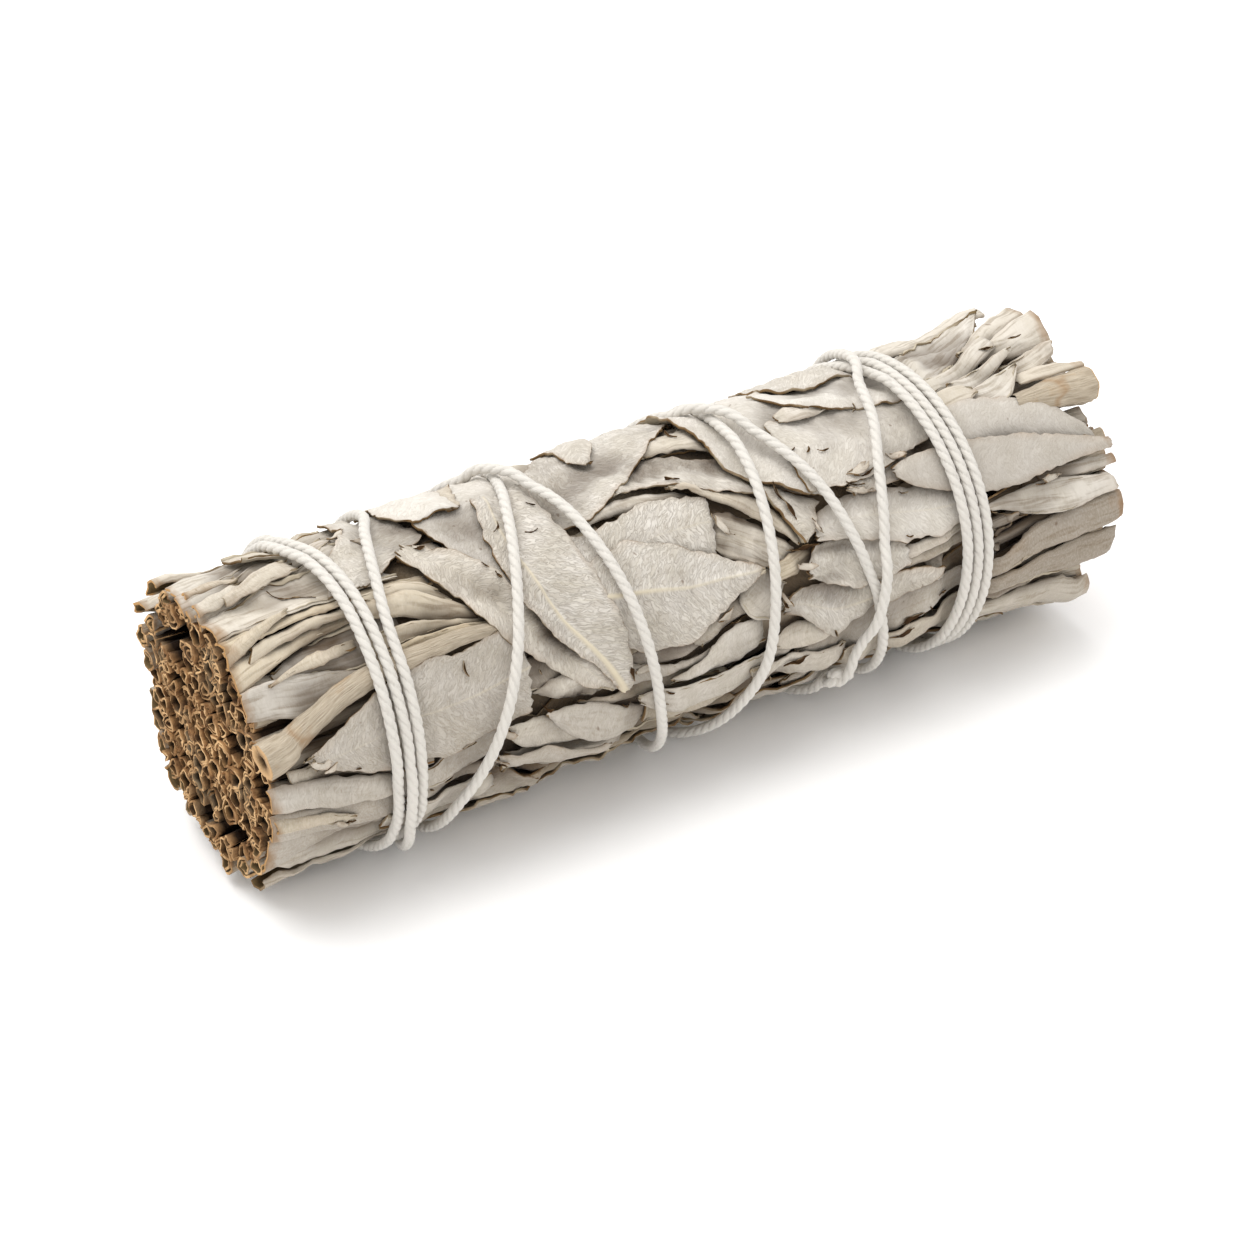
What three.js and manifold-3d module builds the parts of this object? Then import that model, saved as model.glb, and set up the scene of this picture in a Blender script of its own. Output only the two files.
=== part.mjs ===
// A sage smudge stick: leafy stems of white sage, dried, packed side by side and cut off at both ends,
// wrapped in broad leaves and bound from end to end with one length of cotton twine.
// Millimetres. The bundle lies along X, its clean cut end is at -X, +Z is up, and the origin is on the
// surface that it lies on, below its middle. A place on the bundle is given as its distance x along the
// axis, its angle in degrees from the top towards -Y, and its radius from the axis.
import * as THREE from "three";
import { mergeVertices } from "three/addons/utils/BufferGeometryUtils.js";
import Module from "manifold-3d";

const wasm = await Module();
wasm.setup();

// Driving dimensions
const LENGTH = 100;
const AXIS_HEIGHT = 16;
const GAP = 0.35;
const BLADE = 0.6;
const CORE_RADIUS = 13.1;
const HEART_RADIUS = 5.7;
const TWINE_DIAMETER = 1.2;
const STEM_NEAR_RADIUS = 1.15;
const STEM_FAR_RADIUS = 1.5;
const SPRIGS = 6;

// Sizes worked out from them
const LAYER_RADII = [CORE_RADIUS + GAP, CORE_RADIUS + 2 * GAP + BLADE];
const PACKED_RADIUS = LAYER_RADII[1] + BLADE;
const TWINE_RADIUS = PACKED_RADIUS + GAP + TWINE_DIAMETER / 2;
const OUTER_RADIUS = TWINE_RADIUS + TWINE_DIAMETER / 2;
const CLEAR_RADIUS = OUTER_RADIUS + 3;
const CORE_HALF_LENGTH = LENGTH / 2 - 3.4;
const SPRIG_ANGLE = 360 / SPRIGS;
const MEAN_RADIUS = PACKED_RADIUS;
const MM_PER_DEGREE = THREE.MathUtils.degToRad(MEAN_RADIUS);

// The broad leaves of the front, lowest first. Each runs from its foot to its tip, as [x, angle]. left
// and right are the widths of its two halves beside the midrib, bow bends the midrib sideways, and blunt
// is the share of its outline that is torn or cut off at the foot and at the tip.
const FRONT_LEAVES = [
  { from: [-26, -12], to: [2, -6], left: 5, right: 4.6, bow: 0.6, blunt: [0.2, 0.1] },
  { from: [-13, 31], to: [3.6, 41], left: 4.2, right: 4.6, bow: -0.3, blunt: [0.3, 0.3] },
  { from: [-28.6, 6], to: [-11.6, 87], left: 3.9, right: 4.2, bow: -0.4, blunt: [0.12, 0] },
  { from: [5, -4], to: [24, 20], left: 4.8, right: 5, bow: 0.5, blunt: [0.25, 0.1] },
  { from: [12, 50], to: [30.5, 61], left: 3.4, right: 3.2, bow: 0.3, blunt: [0.3, 0.12] },
  { from: [-46, 74], to: [-22.6, 69], left: 4.4, right: 4.3, bow: 0.4, blunt: [0.1, 0.12] },
  { from: [-17.5, 0], to: [-11.4, 88.5], left: 3, right: 5.2, bow: -0.6, blunt: [0.1, 0] },
  { from: [-10.4, 51], to: [6.3, 60.5], left: 4.4, right: 5.6, bow: 0.4, blunt: [0.32, 0] },
  { from: [-6, 12], to: [8.5, 25], left: 3.2, right: 3.2, bow: 0, blunt: [0.1, 0.1] },
  { from: [9.6, 27], to: [12.6, 57], left: 1.9, right: 1.7, bow: 0.2, blunt: [0.15, 0.1] },
  { from: [20, 84.5], to: [7.8, 80], left: 3.4, right: 4.2, bow: 0, blunt: [0.1, 0.36] },
  { from: [26.5, 36], to: [48.6, 56], left: 5.2, right: 5, bow: 0.6, blunt: [0.05, 0.04] },
  { from: [17, 8], to: [34, 12], left: 3.6, right: 3.8, bow: 0, blunt: [0.2, 0.1] },
  { from: [-25, 105], to: [-3.5, 113], left: 2.5, right: 2.3, bow: 0.4, blunt: [0.2, 0.05] },
  { from: [-8.5, 101], to: [9, 104], left: 2.4, right: 2.2, bow: -0.2, blunt: [0.3, 0.1] },
  { from: [17.5, 97], to: [33, 92], left: 3, right: 2.9, bow: 0.3, blunt: [0.25, 0.1] },
];

// Behind and below, the broad leaves lie in rows along the bundle.
const BACK_ROWS = [146, 188, 229, 270, 311];
const BACK_STARTS = [-36, -13, 10];
const BACK_LEAF_LENGTH = 25;

// One unbroken length of twine, as [x, angle], with the angle counted on through every turn. It leaves the
// knot, goes back to the clean end, is wound three times there, crosses over to the far end, is wound
// three times again and comes back to the knot.
const TWINE_ROUTE = [
  [15.7, 126], [11.6, 270], [9.9, 355], [9, 380], [7.5, 410], [6, 440], [5, 460], [3, 480],
  [-6.5, 600], [-14.3, 705], [-17, 730], [-20, 757], [-23, 785], [-26, 810], [-28, 825], [-29.8, 842],
  [-29.4, 950], [-28.2, 1055], [-30.5, 1075], [-32.5, 1095], [-33.9, 1115], [-34.2, 1140], [-34.2, 1180],
  [-33.9, 1200], [-36.4, 1300], [-38.5, 1420], [-37.4, 1440], [-36.9, 1460], [-36.9, 1485], [-36.8, 1530],
  [-36.2, 1560], [-37.2, 1670], [-37.1, 1780], [-36.1, 1800], [-35.6, 1820], [-35.55, 1845], [-35.5, 1875],
  [-35, 1920], [-26, 2030], [-13.9, 2145], [-11.6, 2170], [-10.5, 2190], [-9.5, 2210], [-8.5, 2235],
  [-7.4, 2260], [-6, 2280], [2, 2400], [8.1, 2500], [10.6, 2515], [13, 2538], [15, 2558], [17, 2585],
  [18.7, 2605], [19.8, 2625], [20.7, 2640], [25.5, 2750], [28.9, 2865], [29.5, 2895], [29.8, 2925],
  [29.9, 2955], [29.3, 3000], [29.8, 3100], [30.3, 3225], [30.8, 3260], [31.1, 3285], [31.2, 3315],
  [30.8, 3360], [31.3, 3460], [31.8, 3585], [32.2, 3620], [32.4, 3645], [32.5, 3675], [32.2, 3720],
  [32.4, 3830], [28.6, 3945], [26.5, 3960], [24.5, 3980], [22, 4000], [20, 4025], [18.7, 4045],
  [17.3, 4065], [15.7, 4086],
];

// Woody stems on the outside, as [x, angle, radius] from the cut mouth inwards
const STEM_NEAR = [[-49.4, 67, 15], [-45, 61, 14.7], [-40, 52, 14], [-34, 48.5, 13.8], [-26.5, 49, 13.8]];
const STEM_FAR = [[49.6, 34, 15.2], [46, 33, 15], [42, 31, 14.5]];

const { clamp, degToRad, radToDeg, smoothstep } = THREE.MathUtils;

// Draws repeatable random numbers: pick(low, high) gives the next one.
function pickFrom(seed) {
  let state = seed;
  return (low, high) => {
    state = (state + 0x6d2b79f5) | 0;
    let mixed = Math.imul(state ^ (state >>> 15), 1 | state);
    mixed = (mixed + Math.imul(mixed ^ (mixed >>> 7), 61 | mixed)) ^ mixed;
    return low + ((high - low) * ((mixed ^ (mixed >>> 14)) >>> 0)) / 2 ** 32;
  };
}

// The smaller turn from one angle to another, from -180 to 180
function turnBetween(from, to) {
  return ((((to - from) % 360) + 540) % 360) - 180;
}

// The hand-bound bundle isn't quite round: it is fullest in the middle and a little oval.
function swell(x, angle) {
  const barrel = 0.985 + 0.02 * Math.cos((Math.PI * x) / LENGTH);
  const oval = 0.006 * Math.cos(2 * degToRad(angle - 40));
  return barrel + oval;
}

// Where the bundle lies on the surface it is pressed flat, a little below it before it is trimmed.
const PRESSED = (AXIS_HEIGHT + 0.2) / OUTER_RADIUS;
function pressed(angle, radius) {
  const below = Math.cos(degToRad(angle - 180));
  return below > PRESSED ? (radius * PRESSED) / below : radius;
}

function at(x, angle, radius) {
  const r = pressed(angle, radius * swell(x, angle));
  return [x, -r * Math.sin(degToRad(angle)), AXIS_HEIGHT + r * Math.cos(degToRad(angle))];
}

function vectorAt(x, angle, radius) {
  return new THREE.Vector3(...at(x, angle, radius));
}

// The same, from a place (y, z) in the cross-section
function atSection(x, y, z) {
  return at(x, radToDeg(Math.atan2(-y, z)), Math.hypot(y, z));
}

// Closed meshes as solids, with their faces pointing out
function volumeOf(positions, triangles) {
  const [a, b, c] = [new THREE.Vector3(), new THREE.Vector3(), new THREE.Vector3()];
  let volume = 0;
  for (let i = 0; i < triangles.length; i += 3) {
    a.fromArray(positions, 3 * triangles[i]);
    b.fromArray(positions, 3 * triangles[i + 1]);
    c.fromArray(positions, 3 * triangles[i + 2]);
    volume += a.dot(b.cross(c)) / 6;
  }
  return volume;
}

function solidOf(geometry) {
  geometry.deleteAttribute("normal");
  geometry.deleteAttribute("uv");
  const merged = mergeVertices(geometry, 1e-4);
  const vertProperties = merged.attributes.position.array;
  const triVerts = new Uint32Array(merged.index.array);
  if (volumeOf(vertProperties, triVerts) < 0) triVerts.reverse();
  return new wasm.Manifold(new wasm.Mesh({ numProp: 3, vertProperties, triVerts }));
}

function indexedGeometry(positions, triangles) {
  const geometry = new THREE.BufferGeometry();
  geometry.setAttribute("position", new THREE.Float32BufferAttribute(positions, 3));
  geometry.setIndex(Array.from(triangles));
  return geometry;
}

// The largest body of a solid, as a geometry: a cut can leave loose crumbs beside it.
function bodyGeometry(solid) {
  const { vertProperties: positions, triVerts } = solid.getMesh();
  const parent = Array.from({ length: positions.length / 3 }, (_, i) => i);
  const root = (i) => {
    while (parent[i] !== i) i = parent[i] = parent[parent[i]];
    return i;
  };
  for (let i = 0; i < triVerts.length; i += 3) {
    parent[root(triVerts[i])] = root(triVerts[i + 1]);
    parent[root(triVerts[i + 1])] = root(triVerts[i + 2]);
  }
  const bodies = new Map();
  for (let i = 0; i < triVerts.length; i += 3) {
    const body = root(triVerts[i]);
    if (!bodies.has(body)) bodies.set(body, []);
    bodies.get(body).push(triVerts[i], triVerts[i + 1], triVerts[i + 2]);
  }
  const [largest] = [...bodies.values()].sort((a, b) => volumeOf(positions, b) - volumeOf(positions, a));
  const geometry = mergeVertices(indexedGeometry(positions, largest), 1e-6);
  geometry.computeVertexNormals();
  return geometry;
}

// Moves every vertex of a geometry to where place(x, y, z) says.
function bend(geometry, place) {
  const position = geometry.attributes.position;
  for (let i = 0; i < position.count; i++)
    position.setXYZ(i, ...place(position.getX(i), position.getY(i), position.getZ(i)));
  return geometry;
}

// A closed sheet on a grid of rows and columns, split into triangles alike on both faces.
// place(share along, share across from -1 to 1, face 0 or 1) gives each corner.
function sheetSolid(rows, columns, place) {
  const sheet = new THREE.BoxGeometry(1, 2, 1, rows, columns, 1);
  sheet.translate(0.5, 0, 0.5);
  const corners = mergeVertices(sheet.deleteAttribute("normal").deleteAttribute("uv"), 1e-4);
  const position = corners.attributes.position;
  const triangles = [];
  // Each square of the grid is split from its low corner to its high one, whichever face it is on.
  const index = corners.index.array;
  for (let i = 0; i < index.length; i += 6) {
    const square = [...new Set(index.slice(i, i + 6))];
    const sum = (v) => position.getX(v) * rows + position.getY(v) * columns + position.getZ(v);
    const ring = [index[i], index[i + 1], index[i + 4], index[i + 2]];
    const low = square.reduce((a, b) => (sum(b) < sum(a) ? b : a));
    const k = ring.indexOf(low);
    const [a, b, c, d] = [0, 1, 2, 3].map((n) => ring[(k + n) % 4]);
    triangles.push(a, b, c, a, c, d);
  }
  corners.setIndex(triangles);
  return solidOf(bend(corners, place));
}

// The outline of a sage leaf: how wide it is at a share of its length from 0 to 1
function leafWidth(share) {
  const along = clamp(share, 0, 1);
  return Math.max(0.06, Math.pow(Math.sin(Math.PI * Math.pow(along, 0.85)), 0.75) || 0);
}

// Where a share of a leaf's length and an offset across it fall on the bundle, as [x, angle]
function onLeaf(leaf, share, across) {
  const run = leaf.to[0] - leaf.from[0];
  const turn = (leaf.to[1] - leaf.from[1]) * MM_PER_DEGREE;
  const size = Math.hypot(run, turn);
  const side = across + leaf.bow * Math.sin(Math.PI * clamp(share, 0, 1));
  const x = leaf.from[0] + run * share - (turn / size) * side;
  const arc = turn * share + (run / size) * side;
  return [x, leaf.from[1] + arc / MM_PER_DEGREE];
}

// How far an edge with a margin is from the midrib, on a slightly waved outline
const WAVE = 0.07;
function leafEdge(leaf, share, across, margin) {
  const [foot, tip] = leaf.blunt;
  const width = leafWidth(foot + (1 - foot - tip) * share);
  const waved = 1 + WAVE * Math.sin(23 * share + 3 * Math.sign(across) + leaf.phase);
  const half = across < 0 ? leaf.left : leaf.right;
  return across * (half * width * waved + margin);
}

// A blade lies round the bundle in its layer. Where no twine holds an outer one down its top can swell.
const BLADE_COLUMNS = 2;
function bladeSolid({ leaf, layer }) {
  return sheetSolid(leaf.rows, BLADE_COLUMNS, (share, across, face) => {
    const [x, angle] = onLeaf(leaf, share, leafEdge(leaf, share, across, 0));
    const free = smoothstep(distanceToTwine(x, angle), TWINE_DIAMETER, 3 * TWINE_DIAMETER);
    const crown = layer * leaf.crown * free * (1 - across * across);
    return at(x, angle, LAYER_RADII[layer] + face * (BLADE + crown));
  });
}

// The room that a blade needs: its outline with a gap round it, from just below it outwards
function bladeRoom({ leaf, layer }) {
  const spare = 0.02;
  return sheetSolid(leaf.rows, BLADE_COLUMNS, (share, across, face) => {
    const reach = share * (1 + 2 * spare) - spare;
    const [x, angle] = onLeaf(leaf, reach, leafEdge(leaf, reach, across, GAP));
    return at(x, angle, face ? CLEAR_RADIUS : LAYER_RADII[layer] - 0.8 * GAP);
  });
}

// Which cells of the unrolled bundle a leaf covers, with a margin
const CELL = 0.5;
const CELLS_ROUND = Math.round((360 * MM_PER_DEGREE) / CELL);
function cellAt(x, angle) {
  const turn = ((angle % 360) + 360) % 360;
  return Math.round(x / CELL) * CELLS_ROUND + (Math.round((turn / 360) * CELLS_ROUND) % CELLS_ROUND);
}

function cellsUnder(leaf) {
  const cells = new Set();
  const steps = 80;
  for (let i = 0; i <= steps; i++)
    for (let j = -steps; j <= steps; j += 2)
      cells.add(cellAt(...onLeaf(leaf, i / steps, leafEdge(leaf, i / steps, j / steps, 2 * GAP))));
  return cells;
}

function backLeaves() {
  const pick = pickFrom(11);
  return BACK_ROWS.flatMap((row) =>
    BACK_STARTS.map((start) => {
      const x = start + pick(0, 4);
      const angle = row + pick(-4, 4);
      return {
        from: [x, angle],
        to: [x + BACK_LEAF_LENGTH, angle + pick(-10, 10)],
        left: pick(4.3, 5.1),
        right: pick(4.3, 5.1),
        bow: pick(-0.5, 0.5),
        blunt: [pick(0.12, 0.27), pick(0, 0.1)],
        rows: 6,
        crown: 0,
      };
    }),
  );
}

// Each leaf lies in the inner layer where that is free, and in the outer one where it isn't.
function layLeaves() {
  const covered = new Set();
  const front = FRONT_LEAVES.map((leaf) => ({ ...leaf, rows: 8, crown: 0.75 }));
  return [...front, ...backLeaves()].map((leaf, k) => {
    leaf.phase = k;
    const cells = cellsUnder(leaf);
    const layer = [...cells].some((cell) => covered.has(cell)) ? 1 : 0;
    for (const cell of cells) covered.add(cell);
    return { leaf, layer, cells };
  });
}

// The twine's middle line, wound on a radius of its own: where it crosses a turn that was laid before it,
// the lower one is pulled in and the upper one is lifted over it in a long hump.
const STEP = 5;
const FINE = 8;
const HUMP = 4.5;
const PULLED_IN = 0.25;
const route = new THREE.CatmullRomCurve3(
  TWINE_ROUTE.map(([x, angle]) => new THREE.Vector3(x, angle * MM_PER_DEGREE, 0)),
  false,
  "centripetal",
);
const twineSteps = Math.round(route.getLength() / STEP);
const finePoints = route.getSpacedPoints(twineSteps * FINE);
const fineSpacing = route.getLength() / (finePoints.length - 1);

function distanceBetween(a, b) {
  return Math.hypot(a.x - b.x, turnBetween(a.y / MM_PER_DEGREE, b.y / MM_PER_DEGREE) * MM_PER_DEGREE);
}

function distanceToTwine(x, angle) {
  const place = new THREE.Vector3(x, angle * MM_PER_DEGREE, 0);
  return finePoints.reduce((least, point) => Math.min(least, distanceBetween(place, point)), Infinity);
}

// How high each fine point has to be over the earlier turns (up), or how near a later turn it is (down)
function crossingHeights() {
  const up = finePoints.map(() => 0);
  const down = finePoints.map(() => 0);
  const apart = TWINE_DIAMETER + 0.06;
  const turnAway = Math.round((2 * HUMP) / fineSpacing);
  finePoints.forEach((point, i) => {
    for (let j = 0; j < i - turnAway; j++) {
      const distance = distanceBetween(point, finePoints[j]);
      if (distance > TWINE_DIAMETER - 0.05) continue;
      const needed = Math.sqrt(apart * apart - distance * distance) / apart;
      up[i] = Math.max(up[i], needed);
      down[j] = Math.max(down[j], needed);
    }
  });
  const hump = (heights, i) => {
    const reach = Math.round(HUMP / fineSpacing);
    let most = 0;
    for (let j = Math.max(0, i - reach); j <= Math.min(heights.length - 1, i + reach); j++) {
      const off = Math.abs(j - i) / reach;
      most = Math.max(most, heights[j] * (1 - smoothstep(off, 0.4, 1)));
    }
    return most;
  };
  return finePoints.map((_, i) => apart * hump(up, i) - PULLED_IN * Math.max(hump(up, i), hump(down, i)));
}
const heights = crossingHeights();

// A closed bar along a stretch of the twine. corners are [sideways, outwards] from its middle line.
function twineBar(first, last, corners) {
  const middle = (i) => {
    const point = finePoints[FINE * clamp(i, 0, twineSteps)];
    const height = heights[FINE * clamp(i, 0, twineSteps)];
    return vectorAt(point.x, point.y / MM_PER_DEGREE, TWINE_RADIUS + height);
  };
  const outline = new THREE.Shape(corners.map((corner) => new THREE.Vector2(...corner)));
  const bar = new THREE.ExtrudeGeometry(outline, { depth: 1, steps: last - first, bevelEnabled: false });
  const place = (sideways, outwards, share) => {
    const i = Math.round(first + share * (last - first));
    const centre = middle(i);
    const ahead = middle(i + 1).sub(middle(i - 1)).normalize();
    const out = new THREE.Vector3(0, centre.y, centre.z - AXIS_HEIGHT).normalize();
    const side = new THREE.Vector3().crossVectors(out, ahead).normalize();
    const up = new THREE.Vector3().crossVectors(ahead, side);
    return centre.addScaledVector(side, sideways).addScaledVector(up, outwards).toArray();
  };
  return solidOf(bend(bar, place));
}

// The bars of every stretch joined: each stretch is less than a turn, so none of them crosses itself.
function alongTwine(corners) {
  const stretches = 12;
  const ends = Array.from({ length: stretches + 1 }, (_, k) => Math.round((k * twineSteps) / stretches));
  const bars = ends.slice(1).map((end, k) => twineBar(ends[k], end, corners));
  return bars.reduce((all, bar) => all.add(bar));
}

function roundCorners(sides, radius) {
  const turns = Array.from({ length: sides }, (_, k) => (2 * Math.PI * k) / sides);
  return turns.map((turn) => [radius * Math.cos(turn), radius * Math.sin(turn)]);
}

// The channel that the twine lies in, open outwards
function twineRoom() {
  const half = TWINE_DIAMETER / 2 + GAP;
  const below = TWINE_DIAMETER / 2 + GAP / 3;
  const above = CLEAR_RADIUS - TWINE_RADIUS;
  return alongTwine([[-half, -below], [half, -below], [half, above], [-half, above]]);
}

// The two ends of the twine are tied in a small hard knot of two loops, and each has a short cut tail.
// Loops are given by how far they are turned, and tails by how far they run along and round the bundle.
const KNOT_LOOPS = [25, 90];
const KNOT_TAILS = [[3.2, 1.6], [1.2, 3.2]];
const LOOP_RADIUS = 0.7;
const TIED_RADIUS = 0.5;
function knotSolid() {
  const [x, angle] = TWINE_ROUTE[0];
  const place = (a, b, c) => at(x + a, angle + b / MM_PER_DEGREE, TWINE_RADIUS + 0.2 + 0.8 * c);
  const loops = KNOT_LOOPS.map((turned) => {
    const loop = new THREE.TorusGeometry(LOOP_RADIUS, TIED_RADIUS, 6, 9);
    loop.rotateX(degToRad(63));
    loop.rotateZ(degToRad(turned));
    return solidOf(bend(loop, place));
  });
  const tails = KNOT_TAILS.map(([run, turn]) => {
    const tail = new THREE.CylinderGeometry(TIED_RADIUS, TIED_RADIUS, 1, 6);
    const lay = (a, b, c) => place(run * (b + 0.5) + 0.8 * a, turn * (b + 0.5) + 0.6 * a, c - 0.1);
    return solidOf(bend(tail, lay));
  });
  return [...loops, ...tails].reduce((all, piece) => all.add(piece));
}

function twineSolid() {
  return alongTwine(roundCorners(6, TWINE_DIAMETER / 2)).add(knotSolid());
}

// A sector of the round bundle in the plane of angle and radius, with half the gap on either side
function sectorShape(inner, outer, topPoints) {
  const edge = (radius) => SPRIG_ANGLE / 2 - radToDeg(GAP / 2 / radius);
  const shape = new THREE.Shape();
  shape.moveTo(-edge(inner), inner);
  for (const share of [-1 / 3, 1 / 3, 1]) shape.lineTo(share * edge(inner), inner);
  for (const [share, drop] of topPoints) shape.lineTo(-share * edge(outer), outer - drop);
  shape.closePath();
  return shape;
}

// The packed middle of a sprig, ridged lengthwise by the leaves rolled along it
const RIDGES = 8;
const RIDGE_HEIGHT = 0.5;
const SETTLED = 0.2;
function sprigCore(middle) {
  const drop = (k) => SETTLED + (k % 2 ? 0 : RIDGE_HEIGHT);
  const top = Array.from({ length: RIDGES + 1 }, (_, k) => [(2 * k) / RIDGES - 1, drop(k)]);
  const shape = sectorShape(HEART_RADIUS + GAP, CORE_RADIUS, top);
  const core = new THREE.ExtrudeGeometry(shape, { depth: 2, steps: 2, bevelEnabled: false });
  return solidOf(bend(core, (a, r, z) => at((z - 1) * CORE_HALF_LENGTH, middle + a, r)));
}

function sprigWedge(middle) {
  const corners = [-1, -0.5, 0, 0.5, 1].map((share) => [share, 0]);
  const shape = sectorShape(HEART_RADIUS + GAP, CLEAR_RADIUS, corners);
  const wedge = new THREE.ExtrudeGeometry(shape, { depth: 2, steps: 2, bevelEnabled: false });
  return solidOf(bend(wedge, (a, r, z) => at((z - 1) * (LENGTH / 2 + 1), middle + a, r)));
}

function polygon(sides, size, turned = 0) {
  const turn = degToRad(turned);
  const corners = roundCorners(sides, size).map((corner) => new THREE.Vector2(...corner));
  return new THREE.Shape(corners.map((corner) => corner.rotateAround({ x: 0, y: 0 }, turn)));
}

// A leaf rolled lengthwise: a flattened tube along the bundle. It can be open at its cut mouth.
const MOUTH_DEPTH = 2.4;
const HOLLOW = 0.55;
function rolledLeaf({ mouth, tip, angle, radius, half, thick, lean, sink, open }) {
  const place = (scale) => (x, y, z) => {
    const taper = scale * (1 - 0.7 * smoothstep(z, 0.2, 1));
    const across = (x * half * taper) / MM_PER_DEGREE;
    return at(mouth + (tip - mouth) * z, angle + lean * z + across, radius - sink * z + y * thick * taper);
  };
  const section = polygon(6, 1);
  const full = new THREE.ExtrudeGeometry(section, { depth: 1, steps: 2, bevelEnabled: false });
  const roll = solidOf(bend(full, place(1)));
  if (!open) return roll;
  const depth = MOUTH_DEPTH / Math.abs(tip - mouth);
  const hollow = new THREE.ExtrudeGeometry(section, { depth: 2 * depth, steps: 1, bevelEnabled: false });
  hollow.translate(0, 0, -depth);
  return roll.subtract(solidOf(bend(hollow, place(HOLLOW))));
}

// A rolled leaf that stands out of the packed middle with an open mouth, or a stem that is full
const END_SIDES = 5;
function cutEnd({ end, reach, y, z, size, turned, full }) {
  const outline = polygon(END_SIDES, size, turned);
  if (!full) outline.holes.push(polygon(END_SIDES, size * HOLLOW, turned));
  const tube = new THREE.ExtrudeGeometry(outline, { depth: 1, steps: 1, bevelEnabled: false });
  const root = CORE_HALF_LENGTH - 1.5;
  return solidOf(bend(tube, (a, b, c) => atSection(end * (root + (reach - root) * c), y + a, z + 0.85 * b)));
}

// The cut ends of an end face stand on staggered rows. The far end is more ragged than the near one.
const END_SPACING = 4.3;
const ROW_SPACING = END_SPACING * Math.sin(degToRad(60));
const RAGGED = { "-1": 1.5, 1: 2.7 };
const FULL_SHARE = 0.3;
function cutEnds(end, belongs, pick) {
  const ends = [];
  const rows = Math.floor(CORE_RADIUS / END_SPACING) + 1;
  for (let i = -rows; i <= rows; i++)
    for (let j = -rows; j <= rows; j++) {
      const y = (i + (j % 2 ? 0.5 : 0)) * END_SPACING;
      const z = j * ROW_SPACING;
      const size = pick(1.7, 2.05);
      const reach = LENGTH / 2 - pick(0.3, 0.3 + RAGGED[end]);
      const turned = pick(0, 360 / END_SIDES);
      const full = pick(0, 1) < FULL_SHARE;
      if (belongs(y, z, size)) ends.push(cutEnd({ end, reach, y, z, size, turned, full }));
    }
  return ends;
}

function inSprig(middle) {
  return (y, z, size) => {
    const radius = Math.hypot(y, z);
    const off = Math.abs(turnBetween(middle, radToDeg(Math.atan2(-y, z))));
    const toSide = radius * Math.sin(degToRad(SPRIG_ANGLE / 2 - off));
    const toHeart = radius - HEART_RADIUS - GAP;
    return off < SPRIG_ANGLE / 2 && toSide > 0.4 * size && toHeart > 0.5 * size && radius < CORE_RADIUS - 0.8;
  };
}

// The leaves rolled round the outside of a sprig's two ends, between the angles that bound it
const ROLLS = 3;
const ROLL_SPACING = SPRIG_ANGLE / ROLLS;
const SKIRT_TIPS = { "-1": 39, 1: 35 };
const SKIRT_HALF_WIDTH = 3.2;
function skirtLeaf(end, angle, pick) {
  return {
    mouth: end * (LENGTH / 2 - (turnBetween(0, angle) ? pick(0, RAGGED[end]) : 0)),
    tip: end * SKIRT_TIPS[end],
    angle,
    radius: pick(13.8, 14.3),
    half: SKIRT_HALF_WIDTH,
    thick: pick(1.5, 2),
    lean: pick(-4, 4),
    sink: 0.5,
    open: true,
  };
}

// The lowest leaf at each end is thick enough to be pressed flat by the surface that it lies on.
const LYING_THICK = 2.4;
const PRESSED_DEPTH = 0.4;
function lyingLeaf(end, angle) {
  return {
    mouth: (end * LENGTH) / 2,
    tip: end * SKIRT_TIPS[end],
    angle,
    radius: OUTER_RADIUS + PRESSED_DEPTH - LYING_THICK * Math.sin(degToRad(60)),
    half: SKIRT_HALF_WIDTH,
    thick: LYING_THICK,
    lean: 0,
    sink: 0,
    open: true,
  };
}

// The pillow-like rolls between the broad leaves, left out where two samples or more are covered
const PILLOWS = [-26, -8, 10, 27];
const PILLOW_LENGTH = 19;
const SAMPLES = [-6, -2, 2, 6];
function pillowLeaf(x, angle, pick) {
  const mouth = x + pick(-1.5, 1.5) - PILLOW_LENGTH / 2;
  const tip = mouth + PILLOW_LENGTH;
  const lean = pick(-4, 4);
  return { mouth, tip, angle, radius: 13.3, half: 2.6, thick: 2.3, lean, sink: 0.3, open: false };
}

function rolledLeaves(middle, covered, pick) {
  const leaves = [];
  for (let k = 0; k < ROLLS; k++) {
    const angle = middle + (k - (ROLLS - 1) / 2) * ROLL_SPACING;
    const lies = turnBetween(180, angle) === 0;
    for (const end of [-1, 1]) leaves.push(lies ? lyingLeaf(end, angle) : skirtLeaf(end, angle, pick));
    for (const x of PILLOWS) {
      const hidden = SAMPLES.filter((step) => covered.has(cellAt(x + step, angle)));
      if (hidden.length < 2) leaves.push(pillowLeaf(x, angle, pick));
    }
  }
  return leaves;
}

function sprigSolid(index, covered, rooms) {
  const pick = pickFrom(101 + index);
  const middle = index * SPRIG_ANGLE;
  let solid = sprigCore(middle);
  for (const end of [-1, 1])
    for (const tube of cutEnds(end, inSprig(middle), pick)) solid = solid.add(tube);
  for (const leaf of rolledLeaves(middle, covered, pick)) solid = solid.add(rolledLeaf(leaf));
  solid = solid.intersect(sprigWedge(middle));
  for (const room of rooms) solid = solid.subtract(room);
  return solid;
}

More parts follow.
